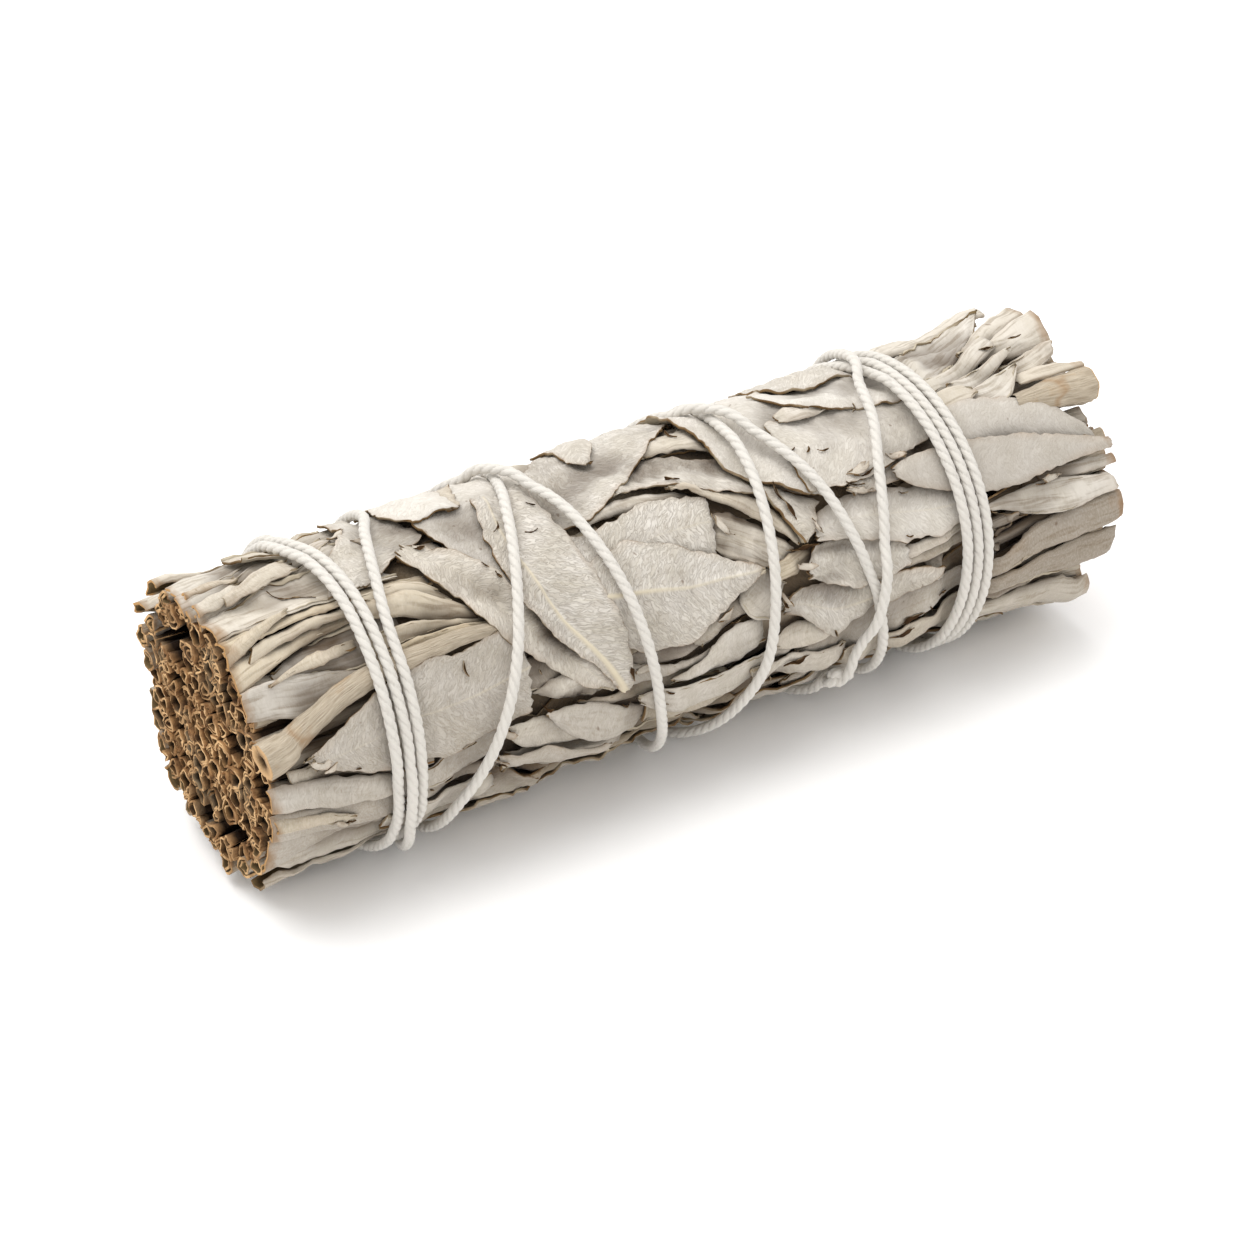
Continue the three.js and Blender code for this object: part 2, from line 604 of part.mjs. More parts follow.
// The sprig in the middle of the bundle, with cut ends of its own
function heartSolid() {
  const pick = pickFrom(7);
  const round = new THREE.CylinderGeometry(HEART_RADIUS, HEART_RADIUS, 2 * CORE_HALF_LENGTH, 12, 1);
  let solid = solidOf(bend(round, (x, y, z) => atSection(y, x, z)));
  const inHeart = (y, z, size) => Math.hypot(y, z) + 0.7 * size < HEART_RADIUS;
  for (const end of [-1, 1])
    for (const tube of cutEnds(end, inHeart, pick)) solid = solid.add(tube);
  return solid;
}

function stemSolid(points, radius) {
  const curve = new THREE.CatmullRomCurve3(points.map((point) => vectorAt(...point)));
  const outline = new THREE.Shape().absarc(0, 0, radius, 0, 2 * Math.PI, false);
  const sweep = { steps: 8, curveSegments: 4, extrudePath: curve, bevelEnabled: false };
  return solidOf(new THREE.ExtrudeGeometry(outline, sweep));
}

// The surface that the bundle lies on
function surfaceSolid() {
  const block = new THREE.BoxGeometry(2 * LENGTH, 2 * LENGTH, 10);
  block.translate(0, 0, -5);
  return solidOf(block);
}

// The finish of each kind of piece
const FINISHES = {
  leaf: { name: "dried_sage_leaf", color: 0xc9c2b8, roughness: 0.9, metalness: 0 },
  packed: { name: "packed_sage", color: 0xa98f6c, roughness: 0.95, metalness: 0 },
  stem: { name: "dried_stem", color: 0xcdbd9c, roughness: 0.8, metalness: 0 },
  twine: { name: "cotton_twine", color: 0xefebe5, roughness: 0.95, metalness: 0 },
};

const surface = surfaceSolid();
const group = new THREE.Group();
group.name = "sage_smudge_stick";

function addNode(name, solid, finish) {
  const material = new THREE.MeshStandardMaterial(FINISHES[finish]);
  const mesh = new THREE.Mesh(bodyGeometry(solid.subtract(surface)), material);
  mesh.name = name;
  group.add(mesh);
}

const laid = layLeaves();
const covered = new Set(laid.flatMap(({ cells }) => [...cells]));
const leafRooms = laid.map(bladeRoom);
const channel = twineRoom();
const stemRooms = [
  stemSolid(STEM_NEAR, STEM_NEAR_RADIUS + GAP),
  stemSolid(STEM_FAR, STEM_FAR_RADIUS + GAP),
];

addNode("sprig_heart", heartSolid(), "packed");
for (let k = 0; k < SPRIGS; k++)
  addNode("sprig_" + (k + 1), sprigSolid(k, covered, [...leafRooms, ...stemRooms, channel]), "packed");

// A leaf gives way to the twine, to the stems and to the later leaves of its own layer.
laid.forEach((own, k) => {
  const shares = (other, j) =>
    j > k && other.layer === own.layer && [...other.cells].some((cell) => own.cells.has(cell));
  const rooms = [...leafRooms.filter((_, j) => shares(laid[j], j)), ...stemRooms, channel];
  const blade = rooms.reduce((solid, room) => solid.subtract(room), bladeSolid(own));
  addNode("wrap_leaf_" + String(k + 1).padStart(2, "0"), blade, "leaf");
});
addNode("stem_near", stemSolid(STEM_NEAR, STEM_NEAR_RADIUS), "stem");
addNode("stem_far", stemSolid(STEM_FAR, STEM_FAR_RADIUS), "stem");
addNode("cotton_twine", twineSolid(), "twine");

export default group;
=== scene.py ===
# %% [markdown]
# A sage smudge stick is a bundle of dried white sage, wrapped in its own broad leaves and bound
# with cotton twine. This file dresses its plain solids with real leaves, cut ends and twine.
# We load the solids first, because they are the fixed frame that every piece has to stay in.

# %% Load the frame
import math

import bmesh
import bpy
import numpy as np
from mathutils import Matrix, Vector


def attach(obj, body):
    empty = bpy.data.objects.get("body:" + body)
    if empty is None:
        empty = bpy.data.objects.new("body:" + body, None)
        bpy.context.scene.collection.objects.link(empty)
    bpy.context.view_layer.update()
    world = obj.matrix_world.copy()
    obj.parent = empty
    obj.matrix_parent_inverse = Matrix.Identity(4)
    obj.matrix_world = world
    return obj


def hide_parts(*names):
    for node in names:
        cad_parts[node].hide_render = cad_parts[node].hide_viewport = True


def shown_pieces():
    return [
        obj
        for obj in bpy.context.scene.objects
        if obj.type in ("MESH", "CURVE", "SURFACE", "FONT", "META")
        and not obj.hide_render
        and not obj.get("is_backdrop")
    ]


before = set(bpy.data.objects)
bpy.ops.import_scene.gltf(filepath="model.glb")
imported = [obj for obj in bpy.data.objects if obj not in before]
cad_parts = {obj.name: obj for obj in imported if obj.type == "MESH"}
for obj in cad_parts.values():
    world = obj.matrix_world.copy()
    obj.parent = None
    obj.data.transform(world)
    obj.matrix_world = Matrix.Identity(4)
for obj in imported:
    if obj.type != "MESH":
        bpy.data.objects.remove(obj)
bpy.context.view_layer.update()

# %% [markdown]
# The bundle lies along X. Every place on it is given by its distance along the bundle, its angle
# from the top towards the viewer, and its distance from the axis. The bundle is a little fuller
# in the middle and pressed flat where it lies. We write these sizes once, in millimetres, and
# work everything else out from them, so that leaves and twine share one surface.

# %% Driving dimensions
MM = 0.001
LENGTH = 100.0
AXIS_HEIGHT = 16.0
CORE_RADIUS = 12.4
LEAF_RADIUS = 15.85
TWINE_RADIUS = 15.95
TWINE_DIAMETER = 1.2
OUTER_RADIUS = TWINE_RADIUS + TWINE_DIAMETER / 2
PRESSED = (AXIS_HEIGHT + 0.2) / OUTER_RADIUS
MEAN_RADIUS = 15.0
MM_PER_DEGREE = math.radians(MEAN_RADIUS)
LEAF_THICK = 0.27


def swell(x, angle):
    """How much fuller or slimmer the bundle is at a place, as a share"""
    return 0.985 + 0.02 * np.cos(np.pi * x / LENGTH) + 0.006 * np.cos(2 * (angle - math.radians(40)))


def place(x, arc, radius):
    """Points in metres, for places in mm along the bundle, round it and out from its axis"""
    angle = arc / MEAN_RADIUS
    out = radius * swell(x, angle)
    below = np.cos(angle - math.pi)
    out = np.where(below > PRESSED, out * PRESSED / np.maximum(below, PRESSED), out)
    height = np.maximum(AXIS_HEIGHT + out * np.cos(angle), 0)
    return np.stack([x + 0 * out, -out * np.sin(angle), height], -1) * MM


print("one turn is", round(2 * math.pi * MEAN_RADIUS, 1), "mm round")

# %% [markdown]
# A picture is taken from a little above and from the left, with a long lens, so the bundle is
# hardly narrower at its far end. The camera looks at a point on the axis. We work out its place
# from the two angles and the distance, which are easier to read than a bare position.

# %% Camera
VIEW_AZIMUTH = math.radians(-31.6)
VIEW_ELEVATION = math.radians(34.39)
VIEW_DISTANCE = 360.0
LOOKED_AT = Vector((-1.62, 0.0, 11.46))
lens = bpy.data.cameras.new("view")
lens.sensor_width = 36.0
lens.lens = 100.2
lens.clip_start = 0.01
lens.clip_end = 20.0
camera = bpy.data.objects.new("view", lens)
bpy.context.scene.collection.objects.link(camera)
towards_camera = Vector((
    math.sin(VIEW_AZIMUTH) * math.cos(VIEW_ELEVATION),
    -math.cos(VIEW_AZIMUTH) * math.cos(VIEW_ELEVATION),
    math.sin(VIEW_ELEVATION),
))
camera.location = (LOOKED_AT + towards_camera * VIEW_DISTANCE) * MM
camera.rotation_mode = "QUATERNION"
camera.rotation_quaternion = (-towards_camera).to_track_quat("-Z", "Y")
bpy.context.scene.camera = camera
print("camera at", tuple(round(c, 3) for c in camera.location))

# %% [markdown]
# Materials are made of nodes. One small function adds a node with its settings and links, and
# one turns the sRGB colours that we can read off a colour card into the linear values that
# Blender wants. With those two, a material is written almost as it is spoken.

# %% Node and colour helpers
def linear(hex_colour):
    """Linear red, green, blue and alpha from an sRGB hex colour"""
    shares = [int(hex_colour[i:i + 2], 16) / 255 for i in (1, 3, 5)]
    return [c / 12.92 if c <= 0.04045 else ((c + 0.055) / 1.055) ** 2.4 for c in shares] + [1.0]


def add(tree, kind, sockets=None, **settings):
    """A new node with its settings. sockets gives each input a value, another node's output, or
    a whole node, which stands for the first output that it uses."""
    made = tree.nodes.new("ShaderNode" + kind)
    for name, value in settings.items():
        setattr(made, name, value)
    for name, value in (sockets or {}).items():
        if isinstance(value, bpy.types.Node):
            value = next(output for output in value.outputs if output.enabled)
        if isinstance(value, bpy.types.NodeSocket):
            tree.links.new(value, made.inputs[name])
        else:
            made.inputs[name].default_value = value
    return made


def new_material(name):
    """A new material that has no nodes yet, and its tree"""
    material = bpy.data.materials.new(name)
    material.use_nodes = True
    material.node_tree.nodes.clear()
    return material, material.node_tree


# %% [markdown]
# The stage is a white table under soft light from all round, with a broad lamp above that gives
# the gentle shade on the undersides and a soft dark line where the bundle lies on the table.

# %% Floor and light
TABLE_SIZE = 6.0
table_maker = bmesh.new()
bmesh.ops.create_grid(table_maker, x_segments=1, y_segments=1, size=TABLE_SIZE / 2)
table_mesh = bpy.data.meshes.new("white_table")
table_maker.to_mesh(table_mesh)
table_maker.free()
table = bpy.data.objects.new("white_table", table_mesh)
bpy.context.scene.collection.objects.link(table)
# Matt white paper shows nothing of its own, only the soft shade that the bundle throws.
paper, tree = new_material("white_paper")
shader = add(tree, "BsdfPrincipled", {"Base Color": linear("#FCFBFA"), "Roughness": 0.9})
add(tree, "OutputMaterial", {"Surface": shader})
table_mesh.materials.append(paper)
table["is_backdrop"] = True

world = bpy.data.worlds.new("soft_box")
bpy.context.scene.world = world
world.use_nodes = True
world.node_tree.nodes.clear()
sky = add(world.node_tree, "Background", {"Color": (1, 1, 1, 1), "Strength": 1.06})
add(world.node_tree, "OutputWorld", {"Surface": sky})


def soft_lamp(name, at, size, watts):
    """A square lamp that shines from a place in metres onto the bundle"""
    lamp = bpy.data.lights.new(name, "AREA")
    lamp.shape = "SQUARE"
    lamp.size = size
    lamp.energy = watts
    lamp_object = bpy.data.objects.new(name, lamp)
    lamp_object.location = at
    lamp_object.rotation_mode = "QUATERNION"
    lamp_object.rotation_quaternion = Vector(at).to_track_quat("Z", "Y")
    bpy.context.scene.collection.objects.link(lamp_object)


soft_lamp("lamp_above", (-0.12, 0.16, 0.62), 0.6, 3.4)
bpy.context.scene.view_settings.view_transform = "Standard"
print("stage: a table", TABLE_SIZE, "m wide and one soft lamp")

# %% [markdown]
# Nothing on a dried leaf is straight. A smooth line through a few chosen points gives outlines
# and the twine's route, and a sum of seeded waves gives unevenness that is the same each run.

# %% Smooth lines and unevenness
def smooth_line(points, per_span=24):
    """Points close together on a centripetal Catmull-Rom curve through the given points"""
    given = np.array(points, float)
    given = np.vstack([2 * given[0] - given[1], given, 2 * given[-1] - given[-2]])
    gaps = np.sqrt(np.linalg.norm(np.diff(given, axis=0), axis=1))[:, None]
    before, own, after = gaps[:-2], gaps[1:-1], gaps[2:]
    a, b, c, d = given[:-3], given[1:-2], given[2:-1], given[3:]
    leaving = ((b - a) / before - (c - a) / (before + own) + (c - b) / own) * own
    arriving = ((c - b) / own - (d - b) / (own + after) + (d - c) / after) * own
    u = np.linspace(0, 1, per_span, endpoint=False)[:, None, None]
    line = (
        (2 * u**3 - 3 * u**2 + 1) * b
        + (u**3 - 2 * u**2 + u) * leaving
        + (3 * u**2 - 2 * u**3) * c
        + (u**3 - u**2) * arriving
    )
    line = line.transpose(1, 0, 2).reshape(-1, given.shape[1])
    return np.vstack([line, given[-2]])


def even_steps(line, count):
    """The same line as count points at even distances"""
    along = np.concatenate([[0], np.cumsum(np.linalg.norm(np.diff(line, axis=0), axis=1))])
    wanted = np.linspace(0, along[-1], count)
    return np.stack([np.interp(wanted, along, axis) for axis in line.T], -1)


def unevenness(x, y, wavelength, seed, octaves=2):
    """Smooth noise between about -1 and 1, from waves of seeded headings"""
    chance = np.random.default_rng(seed)
    total = 0.0
    for octave in range(octaves):
        for _ in range(7):
            heading, shift = chance.uniform(0, 2 * math.pi, 2)
            rate = 2 * math.pi / wavelength * 2**octave * chance.uniform(0.6, 1.3)
            wave = np.sin(rate * (x * math.cos(heading) + y * math.sin(heading)) + shift)
            total = total + wave * 0.6**octave
    return total / 3.4


def smooth_step(low, high, value):
    """0 below low, 1 above high and a smooth rise between them"""
    share = np.clip((value - low) / (high - low), 0, 1)
    return share * share * (3 - 2 * share)


# %% [markdown]
# One length of cotton twine binds the bundle. It starts at a small knot, goes back to the near
# end for three close turns, crosses over to the far end for three more, and comes back to the
# knot. Where it crosses itself, the earlier turn is pulled in and the later one is lifted over
# it in a long low hump. The leaves need to know where it runs, because it presses them in.

# %% The twine's route
TWINE_ROUTE = [
    (15.7, 126), (11.6, 270), (9.9, 355), (9, 380), (7.5, 410), (6, 440), (5, 460), (3, 480),
    (-6.5, 600), (-14.3, 705), (-17, 730), (-20, 757), (-23, 785), (-26, 810), (-28, 825),
    (-29.8, 842), (-29.4, 950), (-28.2, 1055), (-30.5, 1075), (-32.5, 1095), (-33.9, 1115),
    (-34.2, 1140), (-34.2, 1180), (-33.9, 1200), (-36.4, 1300), (-38.5, 1420), (-37.4, 1440),
    (-36.9, 1460), (-36.9, 1485), (-36.8, 1530), (-36.2, 1560), (-37.2, 1670), (-37.1, 1780),
    (-36.1, 1800), (-35.6, 1820), (-35.55, 1845), (-35.5, 1875), (-35, 1920), (-26, 2030),
    (-13.9, 2145), (-11.6, 2170), (-10.5, 2190), (-9.5, 2210), (-8.5, 2235), (-7.4, 2260),
    (-6, 2280), (2, 2400), (8.1, 2500), (10.6, 2515), (13, 2538), (15, 2558), (17, 2585),
    (18.7, 2605), (19.8, 2625), (20.7, 2640), (25.5, 2750), (28.9, 2865), (29.5, 2895),
    (29.8, 2925), (29.9, 2955), (29.3, 3000), (29.8, 3100), (30.3, 3225), (30.8, 3260),
    (31.1, 3285), (31.2, 3315), (30.8, 3360), (31.3, 3460), (31.8, 3585), (32.2, 3620),
    (32.4, 3645), (32.5, 3675), (32.2, 3720), (32.4, 3830), (28.6, 3945), (26.5, 3960),
    (24.5, 3980), (22, 4000), (20, 4025), (18.7, 4045), (17.3, 4065), (15.7, 4086),
]
TWINE_STEP = 0.36
HUMP = 3.2
PULLED_IN = 0.4
twine_line = smooth_line(np.array(TWINE_ROUTE, float) * (1, MM_PER_DEGREE))
twine_length = np.linalg.norm(np.diff(twine_line, axis=0), axis=1).sum()
twine_path = even_steps(twine_line, round(twine_length / TWINE_STEP))
TURN = 2 * math.pi * MEAN_RADIUS


def across_turn(arc):
    """The shorter way round the bundle, in mm"""
    return (arc + TURN / 2) % TURN - TURN / 2


def crossing_heights(path, step):
    """How far each point of the twine is lifted over earlier turns or pulled in under later ones"""
    apart = TWINE_DIAMETER + 0.06
    skipped = round(2 * HUMP / step)
    up, down = np.zeros(len(path)), np.zeros(len(path))
    for i in range(skipped, len(path)):
        earlier = path[:i - skipped]
        distance = np.hypot(path[i, 0] - earlier[:, 0], across_turn(path[i, 1] - earlier[:, 1]))
        near = np.nonzero(distance < TWINE_DIAMETER - 0.05)[0]
        if len(near):
            needed = np.sqrt(apart**2 - distance[near] ** 2) / apart
            up[i] = needed.max()
            down[near] = np.maximum(down[near], needed)
    reach = round(HUMP / step)
    fall = 1 - smooth_step(0.4, 1, np.abs(np.arange(-reach, reach + 1)) / reach)
    lifted, pressed_down = (
        (np.lib.stride_tricks.sliding_window_view(np.pad(h, reach), 2 * reach + 1) * fall).max(1)
        for h in (up, down)
    )
    return apart * lifted - PULLED_IN * np.maximum(lifted, pressed_down)


twine_heights = crossing_heights(twine_path, TWINE_STEP)
print("twine:", round(twine_length / 1000, 2), "m in", len(twine_path), "steps, lifted up to",
      round(float(twine_heights.max()), 2), "mm")

# %% [markdown]
# The wrapping leaves are laid one on another, and each takes the shape of what is under it. We
# keep a height map of the unrolled bundle: a grid of cells that holds how high the pile is at
# each place. A new leaf rests on the highest points near it, smoothed, as a stiff dry leaf does,
# and is then added to the pile. A cloth simulation could do this too, but a height map takes no
# time and never lets one leaf through another.

# %% The pile of leaves as a height map
CELL = 0.25
PILE_REACH = 53.0
PILE_ROWS = round(2 * PILE_REACH / CELL)
PILE_COLUMNS = round(TURN / CELL)
ARC_CELL = TURN / PILE_COLUMNS
SUPPORTED = 43.0
END_WAIST = 1.3
cell_x = (np.arange(PILE_ROWS) + 0.5) * CELL - PILE_REACH
waisted = 1 - smooth_step(32, SUPPORTED, np.abs(cell_x))
core = (CORE_RADIUS - END_WAIST * (1 - waisted))[:, None] + np.zeros((1, PILE_COLUMNS))
pile = core.copy()
cell_arc = (np.arange(PILE_COLUMNS) + 0.5) * ARC_CELL


def spread(field, cells):
    """The highest value within so many cells"""
    for axis in (0, 1):
        wide = np.pad(field, [(cells, cells) if axis == a else (0, 0) for a in (0, 1)], "edge")
        field = np.lib.stride_tricks.sliding_window_view(wide, 2 * cells + 1, axis).max(-1)
    return field


def soften(field, cells):
    """The mean within so many cells, taken twice"""
    for axis in (0, 1, 0, 1):
        wide = np.pad(field, [(cells, cells) if axis == a else (0, 0) for a in (0, 1)], "edge")
        field = np.lib.stride_tricks.sliding_window_view(wide, 2 * cells + 1, axis).mean(-1)
    return field


def sampled(field, rows, columns):
    """Values between the cells of a field"""
    rows = np.clip(rows, 0, field.shape[0] - 1.001)
    columns = np.clip(columns, 0, field.shape[1] - 1.001)
    r, c = rows.astype(int), columns.astype(int)
    u, v = rows - r, columns - c
    low = field[r, c] * (1 - v) + field[r, c + 1] * v
    high = field[r + 1, c] * (1 - v) + field[r + 1, c + 1] * v
    return low * (1 - u) + high * u


def surface_under(x, arc, field, bridged=3, softened=5):
    """The height of a field under a leaf: its high points, bridged and softened"""
    rows = (np.clip(x, -SUPPORTED, SUPPORTED) + PILE_REACH) / CELL - 0.5
    columns = arc / ARC_CELL - 0.5
    margin = bridged + 2 * softened + 2
    first_row, first_column = int(rows.min()) - margin, int(np.floor(columns.min())) - margin
    last_row, last_column = int(rows.max()) + margin, int(columns.max()) + margin
    taken_rows = np.clip(np.arange(first_row, last_row), 0, PILE_ROWS - 1)
    taken_columns = np.arange(first_column, last_column) % PILE_COLUMNS
    patch = field[np.ix_(taken_rows, taken_columns)]
    if bridged:
        patch = spread(patch, bridged)
    if softened:
        patch = soften(patch, softened)
    return sampled(patch, rows - first_row, columns - first_column)


def finer(field):
    """A grid with a new row and column between every two"""
    for _ in range(2):
        between = (field[:-1] + field[1:]) / 2
        doubled = np.empty((len(field) + len(between),) + field.shape[1:])
        doubled[::2], doubled[1::2] = field, between
        field = doubled.T
    return field


def add_to_pile(x, arc, height):
    """Raises the pile to a laid leaf"""
    x, arc, height = finer(x), finer(arc), finer(height)
    rows = np.floor((x + PILE_REACH) / CELL).astype(int).clip(0, PILE_ROWS - 1)
    columns = np.floor(arc / ARC_CELL).astype(int) % PILE_COLUMNS
    np.maximum.at(pile, (rows, columns), height)


print("pile:", PILE_ROWS, "by", PILE_COLUMNS, "cells of", CELL, "mm")

# %% [markdown]
# A leaf is drawn by its two margins, each a smooth line through a few points, in mm along the
# bundle and degrees round it. Between them lies a grid of points, closer together at the margins,
# where the leaf has its thin crinkled rim. The grid then gets its height: the surface that it
# rests on, and over that the leaf's own arch, midrib, curled margins and crumples.

# %% How one leaf is laid
ROW_STEP = 0.42
COLUMN_STEP = 0.5
CUT_MOUTH = 0.45
MOUTH_FROM = 44.0
MOUTH_WHOLLY = 47.5
RIDGE_HALF = 0.27
ABOVE_PILE = 0.05


def lay_leaf(left, right, arch, tone, seed, rib=0.5, rib_high=0.0, curl=(0.0, 0.0), crumple=0.16,
             torn=(0.15, 0.1), coarse=1.0, ribbed=0.0, streaky=0.0, pleat=0.0, plain=0.35,
             foot_rib=0.0, tuck=(60, 60), thick=LEAF_THICK, follow=(3, 5)):
    """Lays a leaf on the pile. Its grid goes from foot to tip and from left to right margin.

    tuck is how far each margin is turned down, in degrees: past 90, it goes under the leaf.
    A plain leaf has hardly any wrinkles. Its midrib is thicker at the tip, or at the foot where
    foot_rib is 1. follow says how many cells wide the dips are that the leaf bridges, and how
    many cells wide the steps are that it smooths.
    tone is how tan the leaf has dried or, below zero, how grey.
    Where the bundle was cut, a leaf keeps its arch to the end, so that it shows an open mouth.
    Margins given the other way round change places, so that the leaf's face is always outwards.
    """
    left, right = np.array(left, float), np.array(right, float)
    ahead = left[-1] + right[-1] - left[0] - right[0]
    over = right.mean(0) - left.mean(0)
    if ahead[0] * over[1] < ahead[1] * over[0]:
        left, right, curl, tuck, rib = right, left, curl[::-1], tuck[::-1], 1 - rib
    left_line = smooth_line(left * (1, MM_PER_DEGREE), 12)
    right_line = smooth_line(right * (1, MM_PER_DEGREE), 12)
    long = max(np.linalg.norm(np.diff(side, axis=0), axis=1).sum() for side in (left_line, right_line))
    rows = max(8, round(long / ROW_STEP / coarse) + 1)
    left_line, right_line = even_steps(left_line, rows), even_steps(right_line, rows)
    widths = np.linalg.norm(right_line - left_line, axis=1)
    columns = max(8, round(widths.max() / COLUMN_STEP / coarse) + 5)
    u = np.linspace(-1, 1, columns)
    u = 1.45 * u - 0.45 * u**3
    full_turn = np.radians(np.where(u < 0, tuck[0], tuck[1]))
    across = np.sin(u * full_turn) / np.sin(np.minimum(full_turn, math.pi / 2)) / 2 + 0.5
    section = (np.cos(u * full_turn) - np.cos(full_turn)) / (1 - np.cos(full_turn))
    t = np.linspace(0, 1, rows)[:, None]
    chance = np.random.default_rng(seed)
    numbers = chance.uniform(0, 100, 8)
    wander = 0.09 * unevenness(t * long, numbers[0], 1.5, seed + 1)
    wander = wander + 0.16 * unevenness(t * long, numbers[1], 5.0, seed + 2)
    off = np.abs(u)[None, :]
    sideways = (right_line - left_line) / np.maximum(widths, 0.3)[:, None]
    spot = left_line[:, None] + (right_line - left_line)[:, None] * across[None, :, None]
    spot = spot + sideways[:, None] * (wander * off**5 * np.sign(u))[..., None]
    forward = np.gradient((left_line + right_line) / 2, axis=0)
    forward = forward / np.maximum(np.linalg.norm(forward, axis=1), 1e-6)[:, None]
    frayed = 0.0
    for share, size, number in ((1 - t, torn[0], 2), (t, torn[1], 3)):
        near_end = smooth_step(1 - 1.6 / long, 1, share)
        rough = unevenness(across * widths.max(), numbers[number], 1.2, seed + number)
        frayed = frayed + near_end * rough[None, :] * size
    spot = spot + forward[:, None] * frayed[..., None]
    x, arc = spot[..., 0], spot[..., 1]
    x = np.clip(x, -LENGTH / 2, LENGTH / 2)
    from_rib = (u[None, :] / 2 + 0.5 - rib) * widths[:, None]
    to_edge = (1 - off) / 2 * widths[:, None]
    to_end = np.minimum(t, 1 - t) * long
    height = surface_under(x, arc, pile, *follow) + thick + ABOVE_PILE
    at_cut = smooth_step(MOUTH_FROM, MOUTH_WHOLLY, np.abs(left_line + right_line)[:, :1] / 2)
    mouth = CUT_MOUTH * at_cut if max(tuck) > 90 else 0.0
    height = height + (arch + mouth) * section * np.maximum(smooth_step(-0.3, 1.8, to_end), at_cut)
    height = height + rib_high * np.exp(-(from_rib / RIDGE_HALF) ** 2) * smooth_step(0, 2, to_end)
    sides = np.where(u < 0, curl[0], curl[1])[None, :]
    height = height + sides * off**4
    height = height + crumple * unevenness(x, arc, 4.6, seed + 5, 3)
    height = height + pleat * unevenness(from_rib, 0.09 * t * long, 1.7, seed + 7)
    margin_wave = unevenness(t * long, numbers[4] + 3 * np.sign(u), 2.4, seed + 6)
    height = height + 0.13 * margin_wave * off**3
    add_to_pile(x, arc, height)
    thicker = 0.45 + 0.95 * (foot_rib + (1 - 2 * foot_rib) * t) ** 2
    return dict(x=x, arc=arc, height=height, along=t * long + 0 * x, from_rib=from_rib,
                to_edge=to_edge, tone=tone, seed=seed, ribbed=ribbed * thicker, streaky=streaky,
                plain=plain, thick=thick)


# %% [markdown]
# Under the leaves that show lie older ones, in two layers round the whole bundle. They fill it
# out and can be seen through the gaps, browner and in shade. Their places follow a loose seeded
# pattern, mostly along the bundle, as leaves lie when a stem is bound.

# %% Inner leaves
INNER_RINGS = 2
INNER_ROUND = 9
INNER_ALONG = 5
INNER_REACH = 33.5
chance = np.random.default_rng(41)


def plain_leaf(x, degrees, long, wide, turned, blunt, bend=0.0, **looks):
    """A leaf round a middle point. turned is its heading in degrees from along the bundle."""
    along = np.linspace(-0.5, 0.5, 6)
    half = wide / 2 * np.clip(1 - np.abs(2 * along) ** 2.4, 0.05, 1) ** blunt
    heading = np.array([math.cos(math.radians(turned)), math.sin(math.radians(turned))])
    side = np.array([-heading[1], heading[0]])
    middle = np.array([x, degrees * MM_PER_DEGREE])
    line = middle + along[:, None] * long * heading + bend * (1 - 4 * along[:, None] ** 2) * side
    left = (line - half[:, None] * side) / (1, MM_PER_DEGREE)
    right = (line + half[:, None] * side) / (1, MM_PER_DEGREE)
    return lay_leaf(left, right, **looks)


inner = []
for ring in range(INNER_RINGS):
    for i in range(INNER_ROUND):
        for k in range(INNER_ALONG):
            share = (k + 0.5 * ((i + ring) % 2)) / (INNER_ALONG - 0.5)
            inner.append(plain_leaf(
                x=INNER_REACH * (2 * share - 1) + chance.uniform(-1, 1),
                degrees=(i + 0.5 * ring) * 360 / INNER_ROUND + chance.uniform(-8, 8),
                long=chance.uniform(17, 23), wide=chance.uniform(6.5, 9.5),
                turned=chance.uniform(-16, 16), blunt=chance.uniform(0.3, 0.7),
                arch=chance.uniform(0.1, 0.5), tone=chance.uniform(0.4, 0.9), coarse=2.3,
                crumple=0.2, seed=1000 + len(inner),
            ))
print("inner leaves:", len(inner))

# %% [markdown]
# Round both ends stand leaves that have rolled up as they dried, and end where the bundle was cut.
# Each is a strip whose cross-section winds inwards in a spiral. It lies on the pile as a small
# tube, and its points are kept in the same three numbers as those of the leaves, so that the
# binding further on presses both alike.

# %% Rolled leaves round the ends
ROLLS_ROUND = 34
ROLL_COLUMNS = 22
ROLL_LONG = np.array([0, 0.25, 0.8, 2, 4, 6.5, 9.5, 13, 17])


